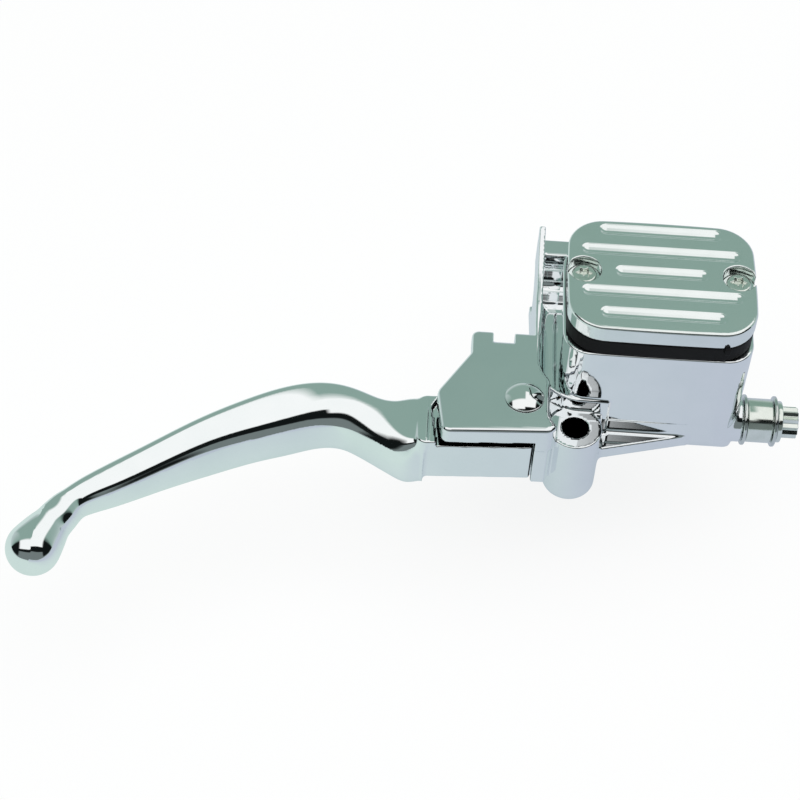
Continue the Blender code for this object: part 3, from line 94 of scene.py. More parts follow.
# Places that several sub-assemblies share.
PIVOT: Place = (-32.05, -75.1)
MIRROR: Place = (-13.05, -80.3)
BORE: Place = (-60.95, -2.0)
RESERVOIR: Place = (13.4, -45.1)
GLASS_X, GLASS_Z = 27.4, 25.4
COVER_SCREWS: Span = (-14.0, 40.8)
COVER_SCREW_Y = -43.6
CLAMP_BOLT_Z = 18.0
CLAMP_TOP = 24.5
BAR_RADIUS = 12.8
HOSE_FACE = 49.0
SLOT_END = -27.55
# The upper ear's corners beside the lever, seen from the pivot.
EAR_FRONT: Place = (-28.7, -17.6)
EAR_SIDE: Place = (-31.2, 1.0)
EAR_BACK = -19.5


class Axis(Enum):
    """The axis along which a form is drawn out, with the two axes of its outline."""

    X = (1, 2, 0)
    Y = (2, 0, 1)
    Z = (0, 1, 2)


class Body(Enum):
    """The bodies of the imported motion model."""

    FIXED = "body"
    LEVER = "lever"
    PLUNGER = "plunger"


def eased_min(a: np.ndarray, b: np.ndarray, ease: float) -> np.ndarray:
    """The smaller of two distances, with a fillet of about the given size where they meet.

    Args:
        a: The first distances.
        b: The second distances.
        ease: The fillet's size.

    Returns:
        The eased distances.
    """
    near = np.maximum(ease - np.abs(a - b), 0.0) / ease
    return np.minimum(a, b) - near * near * (ease / 4)


def eased_max(a: np.ndarray, b: np.ndarray, ease: float) -> np.ndarray:
    """The larger of two distances, with a rounded edge of about the given size where they meet."""
    return -eased_min(-a, -b, ease)


class Solid:
    """A form given by its signed distance, negative inside."""

    def __init__(self, distance: Distance) -> None:
        """Keep the distance function."""
        self.distance = distance

    def join(self, *others: "Solid", fillet: float = 0.0) -> "Solid":
        """Add other forms.

        Args:
            others: The forms to add, one after the other.
            fillet: The size of the fillet along each joint, or 0 for a sharp one.

        Returns:
            The joined form.
        """
        parts = (self, *others)

        def distance(x: np.ndarray, y: np.ndarray, z: np.ndarray) -> np.ndarray:
            """The distance to the nearest part, with its fillets.

            Args:
                x: First coordinates of the points.
                y: Second coordinates of the points.
                z: Third coordinates of the points.

            Returns:
                The distance of each point, negative inside.
            """
            total = parts[0].distance(x, y, z)
            for part in parts[1:]:
                reach = part.distance(x, y, z)
                total = eased_min(total, reach, fillet) if fillet else np.minimum(total, reach)
            return total

        return Solid(distance)

    def cut(self, *others: "Solid", ease: float = 0.0) -> "Solid":
        """Take other forms away.

        Args:
            others: The forms to take away.
            ease: The size of the rounding along each new edge, or 0 for a sharp one.

        Returns:
            What is left.
        """

        def distance(x: np.ndarray, y: np.ndarray, z: np.ndarray) -> np.ndarray:
            """The distance to what is left.

            Args:
                x: First coordinates of the points.
                y: Second coordinates of the points.
                z: Third coordinates of the points.

            Returns:
                The distance of each point, negative inside.
            """
            total = self.distance(x, y, z)
            for other in others:
                away = -other.distance(x, y, z)
                total = eased_max(total, away, ease) if ease else np.maximum(total, away)
            return total

        return Solid(distance)

    def keep(self, other: "Solid", ease: float = 0.0) -> "Solid":
        """What lies inside both forms.

        Args:
            other: The form to stay inside.
            ease: The size of the rounding along the edges between them.

        Returns:
            The common form.
        """

        def distance(x: np.ndarray, y: np.ndarray, z: np.ndarray) -> np.ndarray:
            """The distance to the common form."""
            a, b = self.distance(x, y, z), other.distance(x, y, z)
            return eased_max(a, b, ease) if ease else np.maximum(a, b)

        return Solid(distance)


def outline_distance(outline: Outline, u: np.ndarray, v: np.ndarray) -> np.ndarray:
    """Signed distance to a closed flat outline.

    Args:
        outline: The outline's corners in order.
        u: First coordinates of the points.
        v: Second coordinates of the points.

    Returns:
        The distance of each point, negative inside.
    """
    u, v = np.broadcast_arrays(u, v)
    nearest = np.full(u.shape, np.inf)
    inside = np.zeros(u.shape, bool)
    for (au, av), (bu, bv) in zip(outline, list(outline[1:]) + [outline[0]]):
        eu, ev = bu - au, bv - av
        length = eu * eu + ev * ev
        if length < 1e-12:
            continue
        pu, pv = u - au, v - av
        along = np.clip((pu * eu + pv * ev) / length, 0.0, 1.0)
        nearest = np.minimum(nearest, (pu - eu * along) ** 2 + (pv - ev * along) ** 2)
        if ev != 0.0:
            crosses = (v < av) != (v < bv)
            inside ^= crosses & (pu < pv * (eu / ev))
    return np.where(inside, -1.0, 1.0) * np.sqrt(nearest)


def drawn_out(flat: np.ndarray, w: np.ndarray, low: float, high: float, edge: float) -> np.ndarray:
    """Distance of an outline drawn out along w from low to high, with rounded end edges.

    Args:
        flat: Distances to the outline in its own plane.
        w: Places along the axis.
        low: Where it starts along the axis.
        high: Where it ends.
        edge: The rounding of its two end edges.

    Returns:
        The distance of each point, negative inside.
    """
    a = flat + edge
    b = np.abs(w - (low + high) / 2) - (high - low) / 2 + edge
    outside = np.sqrt(np.maximum(a, 0.0) ** 2 + np.maximum(b, 0.0) ** 2)
    return np.minimum(np.maximum(a, b), 0.0) + outside - edge


def prism(outline: Outline, low: float, high: float, axis: Axis = Axis.Z, edge: float = 0.0) -> Solid:
    """An outline drawn out along an axis.

    Args:
        outline: The outline's corners, in the axis's two cross coordinates.
        low: Where it starts along the axis.
        high: Where it ends.
        axis: The axis.
        edge: The rounding of its two end edges.

    Returns:
        The form.
    """
    iu, iv, iw = axis.value

    def distance(*at: np.ndarray) -> np.ndarray:
        """The distance to the prism."""
        return drawn_out(outline_distance(outline, at[iu], at[iv]), at[iw], low, high, edge)

    return Solid(distance)


def rod(
    centre: Place,
    radius: float,
    low: float,
    high: float,
    axis: Axis = Axis.Z,
    edge: float = 0.0,
) -> Solid:
    """A round bar along an axis.

    Args:
        centre: Its centre in the axis's two cross coordinates.
        radius: Its radius.
        low: Where it starts along the axis.
        high: Where it ends.
        axis: The axis.
        edge: The rounding of its two end edges.

    Returns:
        The form.
    """
    iu, iv, iw = axis.value

    def distance(*at: np.ndarray) -> np.ndarray:
        """The distance to the bar."""
        flat = np.sqrt((at[iu] - centre[0]) ** 2 + (at[iv] - centre[1]) ** 2) - radius
        return drawn_out(flat, at[iw], low, high, edge)

    return Solid(distance)


def block(low: Point, high: Point, edge: float = 0.0) -> Solid:
    """A box between two corners, with rounded edges.

    Args:
        low: The lowest corner.
        high: The highest corner.
        edge: The rounding of its edges.

    Returns:
        The form.
    """

    def distance(*at: np.ndarray) -> np.ndarray:
        """The distance to the box.

        Args:
            at: The points' three coordinates.

        Returns:
            The distance of each point, negative inside.
        """
        over = [np.abs(a - (p + q) / 2) - (q - p) / 2 + edge for a, p, q in zip(at, low, high)]
        outside = np.sqrt(sum(np.maximum(o, 0.0) ** 2 for o in over))
        return outside + np.minimum(np.maximum(np.maximum(over[0], over[1]), over[2]), 0.0) - edge

    return Solid(distance)


def ball(centre: Point, radius: float) -> Solid:
    """A ball about a point.

    Args:
        centre: Its centre.
        radius: Its radius.

    Returns:
        The form.
    """

    def distance(*at: np.ndarray) -> np.ndarray:
        """The distance to the ball."""
        return np.sqrt(sum((a - c) ** 2 for a, c in zip(at, centre))) - radius

    return Solid(distance)


def capsule(start: Point, reach: float, radius: float) -> Solid:
    """A round-ended bar that runs along X from a point.

    Args:
        start: The centre of its first round end.
        reach: The run from there to the centre of its other end.
        radius: Its radius.

    Returns:
        The form.
    """

    def distance(*at: np.ndarray) -> np.ndarray:
        """The distance to the bar."""
        along = at[0] - start[0] - np.clip(at[0] - start[0], 0.0, reach)
        return np.sqrt(along**2 + (at[1] - start[1]) ** 2 + (at[2] - start[2]) ** 2) - radius

    return Solid(distance)


def turned(profile: Outline, centre: Place, axis: Axis) -> Solid:
    """A profile of (radius, place) corners turned about an axis.

    Args:
        profile: Corners of (radius, place along the axis).
        centre: The axis in its two cross coordinates.
        axis: The axis.

    Returns:
        The form.
    """
    iu, iv, iw = axis.value

    def distance(*at: np.ndarray) -> np.ndarray:
        """The distance to the turned form."""
        radius = np.sqrt((at[iu] - centre[0]) ** 2 + (at[iv] - centre[1]) ** 2)
        return outline_distance(profile, radius, at[iw])

    return Solid(distance)


def arc(centre: Place, radius: float, start: float, end: float, steps: int) -> list:
    """Points on an arc, with the angles in degrees.

    Args:
        centre: The arc's centre.
        radius: Its radius.
        start: The angle that it starts at.
        end: The angle that it ends at.
        steps: The number of steps in it.

    Returns:
        The points in order.
    """
    angles = np.radians(np.linspace(start, end, steps + 1))
    return [(centre[0] + radius * math.cos(a), centre[1] + radius * math.sin(a)) for a in angles]


def rounded(corners: Sequence[Corner], steps: int = 8) -> list:
    """An outline of (u, v, radius) corners, with an arc at each corner that has a radius.

    Args:
        corners: The corners in order.
        steps: The number of steps in each arc.

    Returns:
        The outline's points.
    """
    points = []
    for i, (u, v, radius) in enumerate(corners):
        here = Vector((u, v))
        before = (Vector(corners[i - 1][:2]) - here).normalized()
        after = (Vector(corners[(i + 1) % len(corners)][:2]) - here).normalized()
        half = before.angle(after) / 2
        if radius == 0 or half > math.radians(88):
            points.append((u, v))
            continue
        middle = here + (before + after).normalized() * (radius / math.sin(half))
        first = here + before * (radius / math.tan(half)) - middle
        last = here + after * (radius / math.tan(half)) - middle
        sweep = first.angle_signed(last)
        for k in range(steps + 1):
            spoke = first.copy()
            spoke.rotate(Matrix.Rotation(-sweep * k / steps, 2))
            points.append(tuple(middle + spoke))
    return points


def bowed(centre: Place, length: float, depth: float, corner: float, bow: float) -> list:
    """A rounded rectangle whose sides bow outwards a little.

    Args:
        centre: Its centre.
        length: Its size along X.
        depth: Its size along Y.
        corner: The radius of its corners.
        bow: How far each side bows out in its middle.

    Returns:
        The outline's points.
    """
    x, y = length / 2 - bow, depth / 2 - bow
    frame = rounded([(x, -y, corner), (x, y, corner), (-x, y, corner), (-x, -y, corner)], 12)
    points = []
    for here, after in zip(frame, frame[1:] + frame[:1]):
        count = 12 if math.dist(here, after) > corner else 1
        for k in range(count):
            t = k / count
            points.append((here[0] + (after[0] - here[0]) * t, here[1] + (after[1] - here[1]) * t))
    return [
        (
            centre[0] + u * (1 + bow / x * (1 - (v / y) ** 2)),
            centre[1] + v * (1 + bow / y * (1 - (u / x) ** 2)),
        )
        for u, v in points
    ]


def star(points: int, outer: float, inner: float, centre: Place) -> list:
    """A star outline with a corner at each point and a notch between.

    Args:
        points: The number of points.
        outer: The radius at the points.
        inner: The radius at the notches.
        centre: Its centre.

    Returns:
        The outline's points.
    """
    outline = []
    for i in range(2 * points):
        radius = inner if i % 2 else outer
        angle = math.pi * i / points
        outline.append((centre[0] + radius * math.cos(angle), centre[1] + radius * math.sin(angle)))
    return outline


class Skin:
    """Turns a solid into a mesh whose vertices and normals lie on it."""

    CORNERS = [(i, j, k) for i in (0, 1) for j in (0, 1) for k in (0, 1)]
    EDGES = [(a, b) for a in range(8) for b in range(a + 1, 8) if bin(a ^ b).count("1") == 1]
    PROBE = 0.02
    PASSES = 2

    def __init__(self, low: Point, high: Point, cell: float) -> None:
        """Set the box that is searched and the size of its cells."""
        self.cell = cell
        self.axes = [np.arange(a - 2 * cell, b + 3 * cell, cell) for a, b in zip(low, high)]

    def net(self, solid: Solid) -> tuple[np.ndarray, np.ndarray]:
        """Find the cells that the surface crosses and join them.

        Args:
            solid: The form.

        Returns:
            The vertices and the four-sided faces.
        """
        values = solid.distance(*np.ix_(*self.axes))
        inside = values < 0
        shape = [n - 1 for n in inside.shape]
        count = np.zeros(shape, np.int8)
        for i, j, k in self.CORNERS:
            count += inside[i : shape[0] + i, j : shape[1] + j, k : shape[2] + k]
        crossed = np.argwhere((count > 0) & (count < 8))
        number = np.full(shape, -1, np.int64)
        number[tuple(crossed.T)] = np.arange(len(crossed))
        corner = np.stack([values[tuple((crossed + c).T)] for c in self.CORNERS], 1)
        offset = np.array(self.CORNERS, float)
        total = np.zeros((len(crossed), 3))
        hits = np.zeros((len(crossed), 1))
        for a, b in self.EDGES:
            va, vb = corner[:, a], corner[:, b]
            hit = (va < 0) != (vb < 0)
            share = np.where(hit, va / np.where(hit, va - vb, 1.0), 0.0)[:, None]
            total += np.where(hit[:, None], offset[a] + (offset[b] - offset[a]) * share, 0.0)
            hits += hit[:, None]
        origin = np.array([axis[0] for axis in self.axes])
        vertices = origin + (crossed + total / hits) * self.cell
        return vertices, self.quads(inside, number)

    @staticmethod
    def quads(inside: np.ndarray, number: np.ndarray) -> np.ndarray:
        """Join the four cells round each crossed grid edge.

        Args:
            inside: Which grid points lie inside.
            number: The vertex number of each crossed cell.

        Returns:
            The faces as rows of four vertex numbers.
        """
        faces = []
        for axis in range(3):
            u, v = (axis + 1) % 3, (axis + 2) % 3
            first = np.take(inside, range(inside.shape[axis] - 1), axis)
            second = np.take(inside, range(1, inside.shape[axis]), axis)
            edge = np.argwhere(first != second)
            edge = edge[(edge[:, u] > 0) & (edge[:, v] > 0)]
            edge = edge[(edge[:, u] < number.shape[u]) & (edge[:, v] < number.shape[v])]
            step_u, step_v = np.eye(3, dtype=int)[u], np.eye(3, dtype=int)[v]
            ring = [edge - step_u - step_v, edge - step_v, edge, edge - step_u]
            quad = np.stack([number[tuple(r.T)] for r in ring], 1)
            out = first[tuple(edge.T)]
            faces.append(np.where(out[:, None], quad, quad[:, ::-1]))
        return np.concatenate(faces)

    def slope(self, solid: Solid, at: np.ndarray) -> np.ndarray:
        """The direction in which the distance grows at each point.

        Args:
            solid: The form.
            at: The points, one in each row.

        Returns:
            The direction at each point, not made to unit length.
        """
        rows = []
        for axis in range(3):
            step = np.zeros(3)
            step[axis] = self.PROBE
            ahead, behind = (at + step).T, (at - step).T
            rows.append((solid.distance(*ahead) - solid.distance(*behind)) / (2 * self.PROBE))
        return np.stack(rows, 1)

    def mesh(self, name: str, solid: Solid) -> bpy.types.Object:
        """Skin a solid.

        Args:
            name: The piece's name.
            solid: The form.

        Returns:
            The new object, in metres.
        """
        at, faces = self.net(solid)
        for _ in range(self.PASSES):
            slope = self.slope(solid, at)
            size = np.maximum((slope * slope).sum(1), 0.05)
            move = -slope * (solid.distance(*at.T) / size)[:, None]
            length = np.linalg.norm(move, axis=1, keepdims=True)
            at = at + move * np.minimum(1.0, 0.4 * self.cell / np.maximum(length, 1e-9))
        normal = self.slope(solid, at)
        normal /= np.maximum(np.linalg.norm(normal, axis=1, keepdims=True), 1e-9)
        data = bpy.data.meshes.new(name)
        data.vertices.add(len(at))
        data.vertices.foreach_set("co", (at * MM).astype(np.float32).ravel())
        data.loops.add(faces.size)
        data.loops.foreach_set("vertex_index", faces.astype(np.int32).ravel())
        data.polygons.add(len(faces))
        data.polygons.foreach_set("loop_start", np.arange(0, faces.size, 4, dtype=np.int32))
        data.polygons.foreach_set("use_smooth", np.ones(len(faces), bool))
        data.update(calc_edges=True)
        data.validate()
        data.normals_split_custom_set_from_vertices(normal)
        return linked(name, data)


def linked(name: str, data: bpy.types.Mesh) -> bpy.types.Object:
    """Put a mesh into the scene as an object.

    Args:
        name: The object's name.
        data: Its mesh.

    Returns:
        The object.
    """
    obj = bpy.data.objects.new(name, data)
    bpy.context.scene.collection.objects.link(obj)
    return obj


class Lathe:
    """Turns rounded profiles into ring-shaped meshes."""

    SEGMENTS = 96
    SHARP = math.radians(40)

    @classmethod
    def spin(
        cls,
        name: str,
        profile: Sequence[Corner],
        centre: Point,
        axis: Axis,
        closed: bool = True,
    ) -> bpy.types.Object:
        """Turn a profile about an axis.

        Args:
            name: The piece's name.
            profile: Corners of (radius, place along the axis, rounding).
            centre: A point on the axis.
            axis: The axis.
            closed: Whether the profile closes on itself, as a washer's does.

        Returns:
            The new object, in metres.
        """
        corners = rounded(profile, 4) if closed else cls.open_profile(profile)
        iu, iv, iw = axis.value
        mesh = bmesh.new()
        rings = []
        for radius, place in corners:
            ring = []
            for k in range(1 if radius < 1e-6 else cls.SEGMENTS):
                angle = 2 * math.pi * k / cls.SEGMENTS
                at = [0.0, 0.0, 0.0]
                at[iu] = centre[iu] + radius * math.cos(angle)
                at[iv] = centre[iv] + radius * math.sin(angle)
                at[iw] = centre[iw] + place
                ring.append(mesh.verts.new([c * MM for c in at]))
            rings.append(ring)
        pairs = list(zip(rings, rings[1:])) + ([(rings[-1], rings[0])] if closed else [])
        for near, far in pairs:
            for k in range(cls.SEGMENTS):
                face = [near[k % len(near)], near[(k + 1) % len(near)]]
                face += [far[(k + 1) % len(far)], far[k % len(far)]]
                unique = list(dict.fromkeys(face))
                if len(unique) > 2:
                    mesh.faces.new(unique)
        bmesh.ops.recalc_face_normals(mesh, faces=mesh.faces)
        data = bpy.data.meshes.new(name)
        mesh.to_mesh(data)
        mesh.free()
        data.polygons.foreach_set("use_smooth", np.ones(len(data.polygons), bool))
        data.set_sharp_from_angle(angle=cls.SHARP)
        return linked(name, data)

    @staticmethod
    def open_profile(profile: Sequence[Corner]) -> list:
        """Round an open profile's corners and leave its two ends on the axis.

        Args:
            profile: Corners of (radius, place along the axis, rounding).

        Returns:
            The profile's points of (radius, place).
        """
        ends = [(0.0, profile[0][1]), (0.0, profile[-1][1])]
        middle = rounded(profile, 6)
        kept = [p for p in middle if p[0] > 1e-6]
        return [ends[0]] + kept + [ends[1]]


def socket(
    tree: bpy.types.NodeTree, name: str, kind: str, way: str, value: Optional[float] = None
) -> None:
    """Add a named socket to a node group.

    Args:
        tree: The group.
        name: The socket's name.
        kind: The socket's type.
        way: INPUT or OUTPUT.
        value: Its value where nothing feeds it.
    """
    made = tree.interface.new_socket(name=name, in_out=way, socket_type=kind)
    if value is not None:
        made.default_value = value


def node(
    tree: bpy.types.NodeTree, kind: str, links: Optional[dict] = None, **values: object
) -> bpy.types.Node:
    """Add a node.

    Args:
        tree: The node tree.
        kind: The node's type.
        links: What feeds each input, by the input's name or number.
        values: Settings of the node, or values of inputs given as in_NAME.

    Returns:
        The node.
    """
    made = tree.nodes.new(kind)
    for key, value in values.items():
        if key.startswith("in_"):
            made.inputs[key[3:].replace("_", " ")].default_value = value
        else:
            setattr(made, key, value)
    for key, source in (links or {}).items():
        tree.links.new(source, made.inputs[key])
    return made


def sum_up(tree: bpy.types.NodeTree, operation: str, *values: Operand) -> bpy.types.NodeSocket:
    """Work out a value from sockets and plain numbers.

    Args:
        tree: The node tree.
        operation: The Math node's operation.
        values: What goes into each input in turn.

    Returns:
        The result's socket.
    """
    made = node(tree, "ShaderNodeMath", operation=operation)
    for entry, value in zip(made.inputs, values):
        if isinstance(value, bpy.types.NodeSocket):
            tree.links.new(value, entry)
        else:
            entry.default_value = value
    return made.outputs[0]


def between(
    tree: bpy.types.NodeTree, share: bpy.types.NodeSocket, first: Operand, second: Operand
) -> bpy.types.NodeSocket:
    """A colour between two colours.

    Args:
        tree: The node tree.
        share: The socket that gives the second colour's share.
        first: The first colour, or the socket that gives it.
        second: The second colour, or the socket that gives it.

    Returns:
        The colour's socket.
    """
    made = node(tree, "ShaderNodeMix", {0: share}, data_type="RGBA")
    for number, colour in ((MIX_FIRST, first), (MIX_SECOND, second)):
        if isinstance(colour, bpy.types.NodeSocket):
            tree.links.new(colour, made.inputs[number])
        else:
            made.inputs[number].default_value = (*colour, 1.0)
    return made.outputs[MIX_RESULT]


class Effects:
    """Shader groups that several finishes share, each built once."""

    POLISH = "polish_clouds"
    HAIRLINES = "polishing_hairlines"
    LINE_STRETCH = (0.04, 1.0, 1.0)

    @staticmethod
    def start(name: str, scale: float, output: str) -> tuple[bpy.types.NodeTree, dict]:
        """Start a group with a scale and one output.

        Args:
            name: The group's name.
            scale: The scale where a material gives none.
            output: The output's name.

        Returns:
            The group, and what feeds the Scale and Vector of its texture.
        """
        tree = bpy.data.node_groups.new(name, "ShaderNodeTree")
        socket(tree, "Scale", "NodeSocketFloat", "INPUT", scale)
        socket(tree, output, "NodeSocketFloat", "OUTPUT")
        given = node(tree, "NodeGroupInput")
        place = node(tree, "ShaderNodeTexCoord")
        return tree, {"Scale": given.outputs["Scale"], "Vector": place.outputs["Object"]}

    @classmethod
    def polish(cls) -> bpy.types.NodeTree:
        """Cloudy unevenness of a polished or rubbed surface, from 0 to 1.

        Returns:
            The group, with an input Scale and an output Clouds.
        """
        found = bpy.data.node_groups.get(cls.POLISH)
        if found:
            return found
        tree, given = cls.start(cls.POLISH, 60.0, "Clouds")
        noise = node(tree, "ShaderNodeTexNoise", given, in_Detail=4.0, in_Roughness=0.55)
        value = {"Value": noise.outputs["Fac"]}
        spread = node(tree, "ShaderNodeMapRange", value, in_From_Min=0.3, in_From_Max=0.7)
        node(tree, "NodeGroupOutput", {"Clouds": spread.outputs["Result"]})
        return tree

    @classmethod
    def hairlines(cls) -> bpy.types.NodeTree:
        """Fine lines left by polishing, drawn out along X, from 0 to 1.

        Returns:
            The group, with an input Scale and an output Lines.
        """
        found = bpy.data.node_groups.get(cls.HAIRLINES)
        if found:
            return found
        tree, given = cls.start(cls.HAIRLINES, 900.0, "Lines")
        drawn = node(tree, "ShaderNodeMapping", {"Vector": given["Vector"]}, in_Scale=cls.LINE_STRETCH)
        given["Vector"] = drawn.outputs["Vector"]
        noise = node(tree, "ShaderNodeTexNoise", given, in_Detail=2.0, in_Roughness=0.6)
        node(tree, "NodeGroupOutput", {"Lines": noise.outputs["Fac"]})
        return tree

    @staticmethod
    def place(tree: bpy.types.NodeTree, group: bpy.types.NodeTree, scale: float) -> bpy.types.NodeSocket:
        """Place a group in a material with its own scale.

        Args:
            tree: The material's nodes.
            group: The group.
            scale: The scale of its texture.

        Returns:
            The group's output.
        """
        made = node(tree, "ShaderNodeGroup", node_tree=group)
        made.inputs["Scale"].default_value = scale
        return made.outputs[0]


@dataclass(frozen=True)
class Finish:
    """A finish named for the record's slot, with the two colours that its clouds mix."""

    name: str
    light: Colour
    deep: Colour

    def material(self) -> bpy.types.Material:
        """Build the material once and give it back.

        Returns:
            The material.
        """
        title = f"{self.name}_finish"
        made = bpy.data.materials.get(title)
        if made is None:
            made = bpy.data.materials.new(title)
            made.use_nodes = True
            self.wire(made.node_tree, made.node_tree.nodes["Principled BSDF"])
        return made

    def wire(self, tree: bpy.types.NodeTree, shader: bpy.types.Node) -> None:
        """Feed the shader, which each kind of finish does in its own way."""
        raise NotImplementedError

    @staticmethod
    def gloss(
        tree: bpy.types.NodeTree,
        shader: bpy.types.Node,
        clouds: bpy.types.NodeSocket,
        low: float,
        high: float,
    ) -> None:
        """Let the clouds vary the roughness.

        Args:
            tree: The material's nodes.
            shader: The material's shader.
            clouds: The clouds' socket.
            low: The roughness where the clouds are 0.
            high: The roughness where they are 1.
        """
        made = node(tree, "ShaderNodeMapRange", {"Value": clouds}, in_To_Min=low, in_To_Max=high)
        tree.links.new(made.outputs["Result"], shader.inputs["Roughness"])

    @staticmethod
    def relief(
        tree: bpy.types.NodeTree,
        shader: bpy.types.Node,
        height: bpy.types.NodeSocket,
        depth: float,
        size: float,
    ) -> None:
        """Let a pattern raise the surface a little.

        Args:
            tree: The material's nodes.
            shader: The material's shader.
            height: The pattern's socket.
            depth: The strength of the relief.
            size: The height of the relief in metres.
        """
        made = node(tree, "ShaderNodeBump", {"Height": height}, in_Strength=depth, in_Distance=size)
        tree.links.new(made.outputs["Normal"], shader.inputs["Normal"])


@dataclass(frozen=True)
class MetalFinish(Finish):
    """A metal, plated or uncoated, with its cloudy polish, its hairlines, and painted shade in a given deep
    hole and slot.
    """

    smooth: float
    hazy: float
    cloud_scale: float = 60.0
    line_scale: float = 900.0
    line_depth: float = 0.02
    line_height: float = 0.0002
    # Painted shade: a deep hole (x, y, radius) and a slot (end, rear, low, high), coloured near black.
    shaded_hole: Optional[tuple[float, float, float]] = None
    shaded_slot: Optional[tuple[float, float, float, float]] = None
    shade_tone: Colour = (0.012, 0.013, 0.013)

    def painted_shade_mask(self, tree: bpy.types.NodeTree) -> bpy.types.NodeSocket:
        """A mask of the deep hole and the slot, where near-black shade is painted.

        Args:
            tree: The material's nodes.

        Returns:
            The mask's socket.
        """
        place = node(tree, "ShaderNodeTexCoord")
        at = node(tree, "ShaderNodeSeparateXYZ", {"Vector": place.outputs["Object"]})
        flat = node(tree, "ShaderNodeCombineXYZ", {"X": at.outputs["X"], "Y": at.outputs["Y"]})
        x, y, radius = (v * MM for v in self.shaded_hole)
        away = node(tree, "ShaderNodeVectorMath", {0: flat.outputs["Vector"]}, operation="DISTANCE")
        away.inputs[1].default_value = (x, y, 0.0)
        hole = sum_up(tree, "LESS_THAN", away.outputs["Value"], radius)
        end, rear, low, high = (v * MM for v in self.shaded_slot)
        beyond = sum_up(tree, "LESS_THAN", at.outputs["X"], end)
        ahead = sum_up(tree, "LESS_THAN", at.outputs["Y"], rear)
        level = sum_up(tree, "COMPARE", at.outputs["Z"], (low + high) / 2, (high - low) / 2)
        slot = sum_up(tree, "MULTIPLY", sum_up(tree, "MULTIPLY", beyond, ahead), level)
        return sum_up(tree, "MAXIMUM", hole, slot)

    def wire(self, tree: bpy.types.NodeTree, shader: bpy.types.Node) -> None:
        """Feed the shader with the metal's tone, gloss and lines.

        Args:
            tree: The material's nodes.
            shader: The material's shader.
        """
        shader.inputs["Metallic"].default_value = 1.0
        clouds = Effects.place(tree, Effects.polish(), self.cloud_scale)
        lines = Effects.place(tree, Effects.hairlines(), self.line_scale)
        tone = between(tree, clouds, self.light, self.deep)
        # Painted shade: the deep hole and the slot are mixed towards near black.
        if self.shaded_hole:
            tone = between(tree, self.painted_shade_mask(tree), tone, self.shade_tone)
        tree.links.new(tone, shader.inputs["Base Color"])
        self.gloss(tree, shader, clouds, self.smooth, self.hazy)
        self.relief(tree, shader, lines, self.line_depth, self.line_height)


@dataclass(frozen=True)
class RubberFinish(Finish):
    """Moulded rubber with a fine matt grain."""

    cloud_scale: float = 90.0
    grain_scale: float = 1400.0
    grain_depth: float = 0.12
    grain_height: float = 0.0001
    roughness: Span = (0.5, 0.68)
    shine: float = 0.15

    def wire(self, tree: bpy.types.NodeTree, shader: bpy.types.Node) -> None:
        """Feed the shader with the rubber's tone, gloss and grain.

        Args:
            tree: The material's nodes.
            shader: The material's shader.
        """
        shader.inputs["Specular IOR Level"].default_value = self.shine
        clouds = Effects.place(tree, Effects.polish(), self.cloud_scale)
        grain = Effects.place(tree, Effects.polish(), self.grain_scale)
        tree.links.new(between(tree, clouds, self.light, self.deep), shader.inputs["Base Color"])
        self.gloss(tree, shader, clouds, *self.roughness)
        self.relief(tree, shader, grain, self.grain_depth, self.grain_height)


@dataclass(frozen=True)
class GlassFinish(Finish):
    """The clear window of the fluid level, faintly stained."""

    cloud_scale: float = 150.0
    roughness: Span = (0.03, 0.1)
    transmission: float = 0.9
    ior: float = 1.49

    def wire(self, tree: bpy.types.NodeTree, shader: bpy.types.Node) -> None:
        """Feed the shader with the window's tone and gloss.

        Args:
            tree: The material's nodes.
            shader: The material's shader.
        """
        shader.inputs["Transmission Weight"].default_value = self.transmission
        shader.inputs["IOR"].default_value = self.ior
        clouds = Effects.place(tree, Effects.polish(), self.cloud_scale)
        tree.links.new(between(tree, clouds, self.light, self.deep), shader.inputs["Base Color"])
        self.gloss(tree, shader, clouds, *self.roughness)


HOUSING_CHROME = MetalFinish(
    "housing_chrome",
    (0.90, 0.92, 0.93),
    (0.86, 0.89, 0.90),
    0.03,
    0.06,
    # Painted shade in the mirror stem's hole and in the lever's slot.
    shaded_hole=(*MIRROR, 4.95),
    shaded_slot=(SLOT_END + 0.15, -44.0, -10.3, 12.5),
)
COVER_CHROME = MetalFinish(
    "cover_chrome", (0.88, 0.92, 0.91), (0.83, 0.88, 0.86), 0.07, 0.13, cloud_scale=90.0, line_depth=0.05
)
LEVER_CHROME = MetalFinish("lever_chrome", (0.91, 0.94, 0.94), (0.87, 0.91, 0.91), 0.03, 0.06)
PIN_CHROME = MetalFinish("pin_chrome", (0.91, 0.94, 0.93), (0.87, 0.90, 0.89), 0.03, 0.07)
ZINC_STEEL = MetalFinish(
    "zinc_steel", (0.84, 0.88, 0.83), (0.74, 0.79, 0.73), 0.08, 0.16, cloud_scale=220.0, line_depth=0.08
)
BRIGHT_STEEL = MetalFinish(
    "bright_steel", (0.74, 0.77, 0.75), (0.62, 0.65, 0.63), 0.09, 0.18, cloud_scale=200.0, line_depth=0.08
)
SPRING_STEEL = MetalFinish(
    "spring_steel", (0.36, 0.37, 0.39), (0.24, 0.24, 0.25), 0.24, 0.4, cloud_scale=240.0, line_depth=0.06
)
BRONZE = MetalFinish("bronze", (0.60, 0.40, 0.18), (0.46, 0.29, 0.12), 0.26, 0.42, cloud_scale=300.0)
BARE_ALUMINIUM = MetalFinish(
    "bare_aluminium", (0.76, 0.78, 0.80), (0.64, 0.66, 0.68), 0.2, 0.34, cloud_scale=160.0, line_depth=0.1
)
BLACK_RUBBER = RubberFinish("black_rubber", (0.004, 0.004, 0.0045), (0.010, 0.010, 0.011))
WINDOW = GlassFinish("window", (0.86, 0.90, 0.84), (0.74, 0.78, 0.66))


